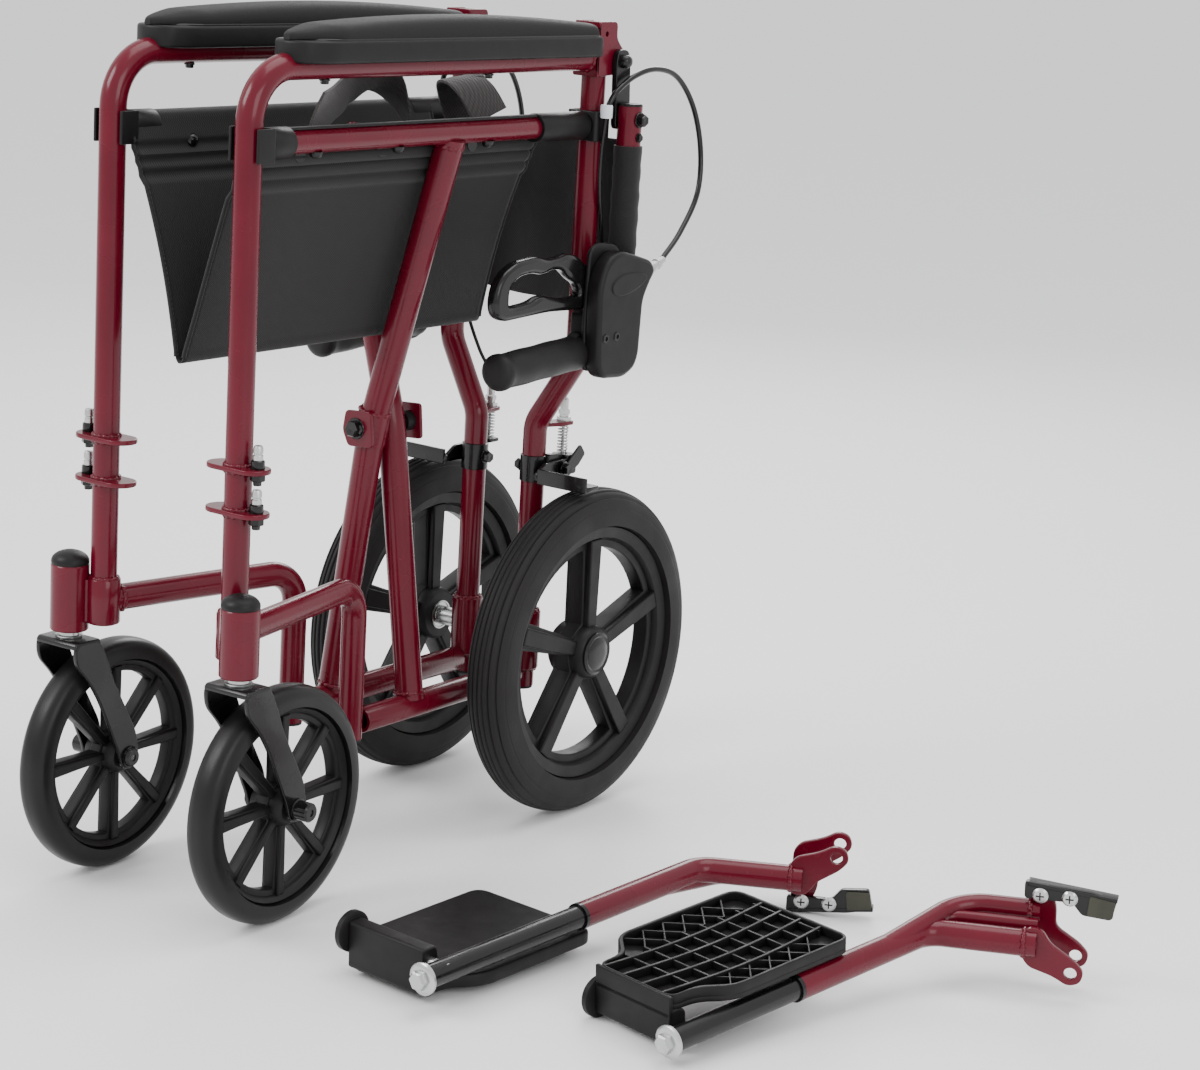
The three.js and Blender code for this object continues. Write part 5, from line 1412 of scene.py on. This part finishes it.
def spline(points: list[Point], steps: int) -> list[Point]:
    """Smooth run through points.

    Args:
        points: points it passes through.
        steps: pieces between each two points.
    """
    p = [Vector(q) for q in points]
    run = []
    for i in range(len(p) - 1):
        a, b, c, d = p[max(i - 1, 0)], p[i], p[i + 1], p[min(i + 2, len(p) - 1)]
        for k in range(steps):
            t = k / steps
            run.append(
                0.5 * ((2 * b) + (c - a) * t + (2 * a - 5 * b + 4 * c - d) * t**2 + (3 * b - a - 3 * c + d) * t**3)
            )
    run.append(p[-1])
    return [tuple(q) for q in run]


@dataclass
class WheelBrake:
    """The cable-pulled brake over a rear tyre."""

    side: Side
    x: float = 54.0
    y: float = 316.0
    z: float = 321.0

    def build(self, shop: Workshop) -> None:
        """Builds arm, shoe, spring and adjuster.

        Args:
            shop: a workshop in the side's own mirrored frame.
        """
        word = self.side.word
        arm = shop.on(f"wheel_brake_{word}")
        coat = Finishes.BLACK_COAT
        outline = [(277, 314), (277, 321), (290, 329), (322, 330), (337, 330), (338, 314)]
        piece = arm.prism("brake_arm", soft_outline(outline, 3.5), (52, 56), "x", coat, bevel=0.8)
        stands_for(f"brake_arm_{word}")
        shoe = soft_outline([(52, 277), (112, 277), (114, 283), (114, 296), (52, 296)], 3)
        arm.prism("brake_shoe", shoe, (314, 317.6), "z", coat, bevel=0.8)
        lip = soft_outline([(276.5, 311.5), (276.5, 326), (279.5, 326), (279.5, 311.5)], 1)
        arm.prism("shoe_lip", lip, (56, 112), "x", coat, bevel=0.7)
        pull = soft_outline([(37, 322), (56, 322), (56, 338), (37, 338)], 3)
        arm.prism("brake_pull", pull, (329.5, 332.8), "z", coat, bevel=0.8)
        flag = soft_outline([(318, 322), (338, 330), (348, 340), (340, 350), (322, 336)], 3)
        arm.prism("brake_flag", [(a, b - 8) for a, b in flag], (56.2, 58.6), "x", coat, bevel=0.7)
        arm.bolt("brake_pivot_bolt", (58.6, self.y, self.z), "x", 5.6, 6, coat, 1)
        fixed = shop.on(f"frame_{word}")
        turns = 9
        helix = []
        for k in range(turns * 16 + 1):
            t = math.tau * k / 16
            helix.append((44 + 4.6 * math.cos(t), 330 + 4.6 * math.sin(t), 333.5 + 26 * k / (turns * 16)))
        fixed.tube("brake_spring", helix, 0.7, [1], Finishes.ZINC, sides=8, smooth=True)
        rod = [(0, 333), (1.5, 333), (1.5, 361), (0, 361)]
        fixed.lathe("brake_rod", rod, "z", (44, 330, 0), Finishes.ZINC, 16)
        barrel = [(0, 363.8), (6.8, 363.8), (6.8, 367.5), (4.4, 367.5), (4.4, 370), (5.4, 370.4), (5.4, 374), (3.8, 375)]
        barrel += [(3.8, 384), (2.6, 386), (0, 386)]
        fixed.lathe("cable_adjuster", barrel, "z", (44, 330, 0), Finishes.ZINC, 6, angle=25.0)


# ---- Legrests ------------------------------------------------------------------------------------
@dataclass
class Legrest:
    """A detached legrest. Its leg tube runs along +Y from the foot end; +Z is the plate's side."""

    side: Side
    spot: Point
    heading: float
    tilt: float
    shown: float
    bend: float = 158.0
    angle: float = 59.0

    def frame(self) -> Matrix:
        """Matrix from the legrest's frame to the chair's."""
        turn = Matrix.Rotation(math.radians(self.heading), 4, "Z")
        lean = Matrix.Rotation(math.radians(self.tilt), 4, "X")
        flip = Matrix.Diagonal((1, 1, self.side.value, 1))
        return Matrix.Translation(self.spot) @ turn @ lean @ flip

    def at(self, s: float, n: float, w: float) -> Point:
        """Point from distances along and across the upper members."""
        t = math.radians(self.angle)
        reach = self.shown + self.bend
        return (math.sin(t) * s - math.cos(t) * n, reach + math.cos(t) * s + math.sin(t) * n, w)

    def build(self, shop: Workshop) -> None:
        """Builds hanger, latch, extension and footplate.

        Args:
            shop: a workshop in the chair's frame.
        """
        spot = shop.within(self.frame())
        word = self.side.word
        spot.suffix = f"_legrest_{word}"
        hanger, plate = spot.on(f"legrest_{word}"), spot.on(f"footplate_{word}")
        rod, latch = spot.on(f"extension_{word}"), spot.on(f"latch_{word}")
        for each in (hanger, plate, rod, latch):
            each.suffix = spot.suffix
        self._hanger(hanger, word)
        self._latch(latch, word)
        self._extension(rod, word)
        if self.side is Side.LEFT:
            self._ribbed_plate(plate, word)
        else:
            self._smooth_plate(plate, word)

    def _standing(self) -> Matrix:
        t = math.radians(self.angle)
        along = Vector((math.sin(t), math.cos(t), 0))
        across = Vector((-math.cos(t), math.sin(t), 0))
        origin = self.at(0, 0, 0)
        rows = [[along[i], 0.0, -across[i], origin[i]] for i in range(3)]
        rows[2][1] = 1.0
        return Matrix((*rows, (0, 0, 0, 1)))

    def _hanger(self, shop: Workshop, word: str) -> None:
        red = Finishes.CRIMSON
        reach = self.shown + self.bend
        line = [(0, self.shown, 0), (0, reach, 0), self.at(90, 0, 0)]
        piece = shop.tube("leg_tube", line, 11.1, [26], red, sides=36)
        stands_for(f"legrest_hanger_{word}")
        rim = [(9.7, self.shown - 0.5), (11.4, self.shown - 0.5), (11.4, self.shown + 3), (9.7, self.shown + 3)]
        shop.lathe("leg_mouth", rim, "y", (0, 0, 0), Finishes.BLACK_COAT, 36, closed=True)
        upper = [(0, reach - 56, 1.5), self.at(22, 36, 14), self.at(88, 36, 14)]
        shop.tube("upper_member", upper, 8.8, [44], red, sides=32)
        shop.tube("tie_member", [self.at(2, 10, 6), self.at(22, 19, 8), self.at(88, 19.5, 8)], 5.4, [20], red, sides=20)
        t = math.radians(self.angle)
        along = (math.sin(t), math.cos(t), 0)
        shop.weld("weld_upper", self.at(80, 36, 14), along, 8.8, red, 52)
        shop.weld("weld_lower", self.at(80, 0, 0), along, 11.0, red, 53)
        basis = self._standing()
        hole = circle((118, -22), 5.2, 28)
        ear = [(80, 14), (94, 14), (101, 2), (121, -11), (129, -20), (126, -30), (116, -33), (104, -26), (84, -20), (78, -12)]
        tall = [(78, 37), (94, 37), (101, 20), (101, 2), (121, -11), (129, -20), (126, -30), (116, -33), (104, -26)]
        tall += [(84, -20), (78, -12)]
        for name, outline, n in (("ear_low", ear, 0.0), ("ear_high", tall, 36.0)):
            span = (-n - 2.5, -n + 2.5)
            shop.prism(name, soft_outline(outline, 6), span, "z", red, bevel=0.9, basis=basis, holes=[hole])

    def _latch(self, shop: Workshop, word: str) -> None:
        basis = self._standing()
        hook = [(75, 27), (114, 27), (122, 17), (146, 15), (150, 33), (128, 38), (75, 42)]
        span = (-33.2, -27.2)
        coat = Finishes.BLACK_COAT
        piece = shop.prism("latch", soft_outline(hook, 3), span, "z", coat, bevel=0.8, basis=basis)
        stands_for(f"legrest_latch_{word}")
        face = soft_outline([(126, 18), (147, 17), (149, 32), (128, 35)], 2)
        shop.prism("latch_face", face, (-26.9, -25.6), "z", Finishes.STEEL_DARK, bevel=0.4, basis=basis)
        flange = soft_outline([(77, 38.5), (150, 31), (150.5, 34.5), (77.5, 42)], 1)
        shop.prism("latch_flange", flange, (-38, -26.5), "z", coat, bevel=0.7, basis=basis)
        for i, s in enumerate((88.0, 112.0)):
            head = [(0, -24.2), (5.2, -24.6), (6.6, -26), (6.6, -27.2), (0, -27.2)]
            spot = shop.within(basis @ Matrix.Translation((s, 31, 0)))
            spot.suffix = shop.suffix
            spot.lathe(f"latch_screw_{i}", head, "z", (0, 0, 0), Finishes.ZINC, 28)
            for k, turn in enumerate((0, 90)):
                bar = spot.within(Matrix.Rotation(math.radians(turn), 4, "Z"))
                bar.suffix = shop.suffix
                slot = [(-3.4, -0.6), (3.4, -0.6), (3.4, 0.6), (-3.4, 0.6)]
                bar.prism(f"screw_slot_{i}_{k}", slot, (-24.6, -24.0), "z", Finishes.BLACK_COAT, bevel=0.1)

    def _extension(self, shop: Workshop, word: str) -> None:
        run = [(0, 1, 0), (0, self.shown + 20, 0), (0, self.shown + 54, 0)]
        piece = shop.tube("extension", run, 9.6, [1], Finishes.BLACK_COAT, sides=36)
        stands_for(f"legrest_extension_{word}")
        flange = [(0, 2.2), (10, 2.2), (13.2, 1.6), (13.4, -0.6), (12.4, -1.6), (9, -2.4), (0, -2.4)]
        shop.lathe("end_washer", flange, "y", (0, 0, 0), Finishes.ZINC, 40)
        head = [(0, -2), (8.2, -2), (8.2, -7), (6.8, -8.2), (3, -8.2), (0, -7.4)]
        shop.lathe("end_bolt", head, "y", (0, 0, 0), Finishes.ZINC, 6, angle=20.0)
        shaft = [(0, 6), (4, 6), (4, -104), (0, -104)]
        shop.lathe("foot_hinge", shaft, "x", (0, 22, -4), Finishes.ZINC, 20)
        disc = [(0, -96.5), (15, -96.5), (17, -97.5), (17, -102), (15.4, -103.6), (9, -104.2), (8, -103), (0, -103)]
        shop.lathe("bumper", disc, "x", (0, 22, -4), Finishes.PLASTIC, 44)
        shop.bolt("bumper_bolt", (-103, 22, -4), "x", 4.6, 4, Finishes.ZINC, -1)

    def _heel(self, shop: Workshop, top: float) -> None:
        """Block of the footplate that turns on the foot pin."""
        shape = [(14.5, -15), (29.5, -15), (32, -6), (32, top - 4), (26, top), (14.5, top)]
        shop.prism("heel", soft_outline(shape, 3), (-96.5, -13.9), "x", Finishes.PLASTIC, bevel=1.6)

    def _smooth_plate(self, shop: Workshop, word: str) -> None:
        self._heel(shop, 24.0)
        plan = [(-96.5, 16), (-13.9, 16), (-13.9, 42), (5, 66), (5, 198), (-125, 198), (-125, 64), (-96.5, 42)]
        outline = soft_outline(plan, 14, 8)
        piece = shop.prism("plate", outline, (13.8, 25.4), "z", Finishes.PLASTIC, bevel=2.4)
        stands_for(f"footplate_{word}")
        inner = soft_outline([(-90, 46), (-14, 46), (-2, 70), (-2, 191), (-118, 191), (-118, 68)], 12, 8)
        shop.prism("plate_field", inner, (14.6, 26.6), "z", Finishes.PLASTIC, bevel=1.2)
        turns = [math.pi / 2 * k / 5 for k in range(6)]
        barrel = [(0, -15.5), (4.4, -15.5), (4.8, -14.6)]
        barrel += [(5.4 + 3.4 * math.sin(t), -16.6 + 2 * math.cos(t)) for t in turns]
        barrel += [(8.8, -94), (8.2, -95.6), (6.8, -96.4), (0, -96.4)]
        shop.lathe("plate_barrel", barrel, "x", (0, 24.5, 18.4), Finishes.PLASTIC, 36)

    def _ribbed_plate(self, shop: Workshop, word: str) -> None:
        self._heel(shop, 15.0)
        black = Finishes.PLASTIC
        wall = soft_outline([(14.5, 8), (18.2, 8), (18.2, 26.4), (14.5, 26.4)], 1.2)
        shop.prism("heel_wall", wall, (-96.5, -13.9), "x", black, bevel=0.9)
        plan = [(-96.5, 16), (-13.9, 16), (-13.9, 42), (5, 66), (5, 198), (-125, 198), (-125, 64), (-96.5, 42)]
        outline = soft_outline(plan, 14, 8)
        piece = shop.prism("plate", outline, (13.8, 19.0), "z", black, bevel=1.2)
        stands_for(f"footplate_{word}")
        mouth = [(-94.2, 18.4), (-16.2, 18.4), (-16.2, 45), (1.6, 68), (1.6, 194.6), (-121.6, 194.6), (-121.6, 67), (-94.2, 45)]
        inner = soft_outline(mouth, 9, 8)
        shop.prism("plate_rim", outline, (18.0, 26.8), "z", black, bevel=1.0, holes=[inner])
        floor, top = 18.6, 26.2
        for i in range(4):
            x = -88 + 21.5 * i
            bow = [(x + 7 * math.sin(math.pi * k / 16) - 3, 17.5 + 177 * k / 16) for k in range(17)]
            wall = [(a - 1.3, b) for a, b in bow] + [(a + 1.3, b) for a, b in reversed(bow)]
            shop.prism(f"long_rib_{i}", wall, (floor, top), "z", black, bevel=0.4)
        for i in range(8):
            y = 46 + 20.5 * i
            wall = [(-96, y - 0.9), (-23, y - 0.9), (-23, y + 0.9), (-96, y + 0.9)]
            shop.prism(f"cross_rib_{i}", wall, (floor, top - 1), "z", black, bevel=0.3)
        for zone, (left, right) in enumerate(((-120.0, -94.0), (-24.0, 0.0))):
            for i in range(6):
                y = 66 + 22 * i
                for k, lean in enumerate((22.0, -22.0)):
                    a, b = (left, y if lean > 0 else y + 22), (right, y + lean if lean > 0 else y)
                    if max(a[1], b[1]) > 194 or min(a[1], b[1]) < 62:
                        continue
                    wall = [(a[0], a[1] - 0.9), (b[0], b[1] - 0.9), (b[0], b[1] + 0.9), (a[0], a[1] + 0.9)]
                    shop.prism(f"lattice_{zone}_{i}_{k}", wall, (floor, top - 1.5), "z", black, bevel=0.3)


# ---- Studio --------------------------------------------------------------------------------------
@dataclass(frozen=True)
class Shot:
    """The camera, in the chair's millimetres."""

    position: Point = (1589.8, -1788.4, 867.2)
    azimuth: float = 35.23
    elevation: float = 13.14
    roll: float = 3.48
    lens: float = 84.93


class Studio:
    """Camera, lights and floor."""

    def camera(self, shot: Shot, place: Place) -> None:
        """Places the camera.

        Args:
            shot: where it stands and how it is turned.
            place: where the chair is in the row frame.
        """
        data = bpy.data.cameras.new("camera")
        data.lens = shot.lens
        data.sensor_width = 36.0
        data.clip_end = 120.0
        camera = bpy.data.objects.new("camera", data)
        bpy.context.scene.collection.objects.link(camera)
        a, e, r = (math.radians(v) for v in (shot.azimuth, shot.elevation, shot.roll))
        back = Vector((math.sin(a) * math.cos(e), -math.cos(a) * math.cos(e), math.sin(e)))
        right = Vector((0, 0, 1)).cross(back).normalized()
        up = back.cross(right)
        turned_right = right * math.cos(r) + up * math.sin(r)
        turned_up = up * math.cos(r) - right * math.sin(r)
        basis = Matrix((turned_right, turned_up, back)).transposed().to_4x4()
        camera.matrix_world = Matrix.Translation(place.matrix() @ Vector(shot.position)) @ basis
        bpy.context.scene.camera = camera

    def lights(self) -> None:
        """Puts soft boxes round the chair and a bright, even surround."""
        world = bpy.data.worlds.new("surround")
        world.use_nodes = True
        world.node_tree.nodes["Background"].inputs["Color"].default_value = (1, 1, 1, 1)
        world.node_tree.nodes["Background"].inputs["Strength"].default_value = 1.25
        bpy.context.scene.world = world
        boxes = (
            ("key", (-1.6, -2.2, 2.4), 1.4, 60.0),
            ("fill", (2.6, -1.0, 1.6), 1.6, 26.0),
            ("top", (0.1, 0.4, 2.8), 1.8, 34.0),
            ("rim", (-1.4, 2.2, 1.6), 1.0, 22.0),
        )
        for name, at, size, power in boxes:
            data = bpy.data.lights.new(name, "AREA")
            data.size = size
            data.energy = power
            lamp = bpy.data.objects.new(name, data)
            bpy.context.scene.collection.objects.link(lamp)
            lamp.location = at
            aim = Vector((0.0, 0.0, 0.3)) - Vector(at)
            lamp.rotation_euler = aim.to_track_quat("-Z", "Y").to_euler()

    def floor(self) -> None:
        """Lays a pale floor."""
        mesh = bpy.data.meshes.new("floor")
        r = 45.0
        mesh.from_pydata([(-r, -r, 0), (r, -r, 0), (r, r, 0), (-r, r, 0)], [], [(0, 1, 2, 3)])
        material = bpy.data.materials.new("floor")
        material.use_nodes = True
        shader = material.node_tree.nodes["Principled BSDF"]
        shader.inputs["Base Color"].default_value = (0.9, 0.9, 0.902, 1)
        shader.inputs["Roughness"].default_value = 0.55
        mesh.materials.append(material)
        plane = bpy.data.objects.new("floor", mesh)
        bpy.context.scene.collection.objects.link(plane)


class Wheelchair:
    """The whole object."""

    def __init__(self, place: Place) -> None:
        """Opens the workshop of the whole chair.

        Args:
            place: where the chair is in the row frame.
        """
        self.paints = Paints()
        self.base = Workshop(self.paints, place.matrix(), "frame_left", "")

    def side_shop(self, side: Side) -> Workshop:
        """Returns a workshop mirrored to a side, on its side frame.

        Args:
            side: the side to build on.
        """
        mirror = Matrix.Diagonal((side.value, 1, 1, 1))
        return Workshop(self.paints, self.base.frame @ mirror, f"frame_{side.word}", f"_{side.word}")

    def build(self) -> None:
        """Builds every piece, cables first."""
        for side in Side:
            shop = self.side_shop(side)
            for part in (Cane(side), SideFrame(side), RearWheel(side), Castor(side), RailGuides(side)):
                part.build(shop)
                LOG.info("%s %s", type(part).__name__, side.word)
            SeatSling(side).build(shop)
            WheelBrake(side).build(shop)
            BackSheet().sleeve(shop, side.word)
            LOG.info("soft parts and brake %s", side.word)
        CrossBrace(Side.LEFT, 130.0, "brace_rear").build(self.base)
        CrossBrace(Side.RIGHT, 103.0, "brace_front").build(self.base)
        BracePivot().build(self.base)
        BackSheet().build(self.base)
        SeatBelt().build(self.base)
        LOG.info("cross brace and back sheet")
        Legrest(Side.LEFT, (509.0, -129.0, 19.147), -10.9, 4.6, 136.0).build(self.base)
        Legrest(Side.RIGHT, (316.0, -185.0, 30.761), -4.5, 1.6, 182.0).build(self.base)
        LOG.info("legrests")


def main() -> None:
    """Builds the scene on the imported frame."""
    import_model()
    place = Place.of_chair(RearWheel.y)
    LOG.info("chair placed at %.6f, %.6f", place.x, place.y)
    studio = Studio()
    studio.camera(Shot(), place)
    studio.lights()
    studio.floor()
    Wheelchair(place).build()


if __name__ == "__main__":
    main()
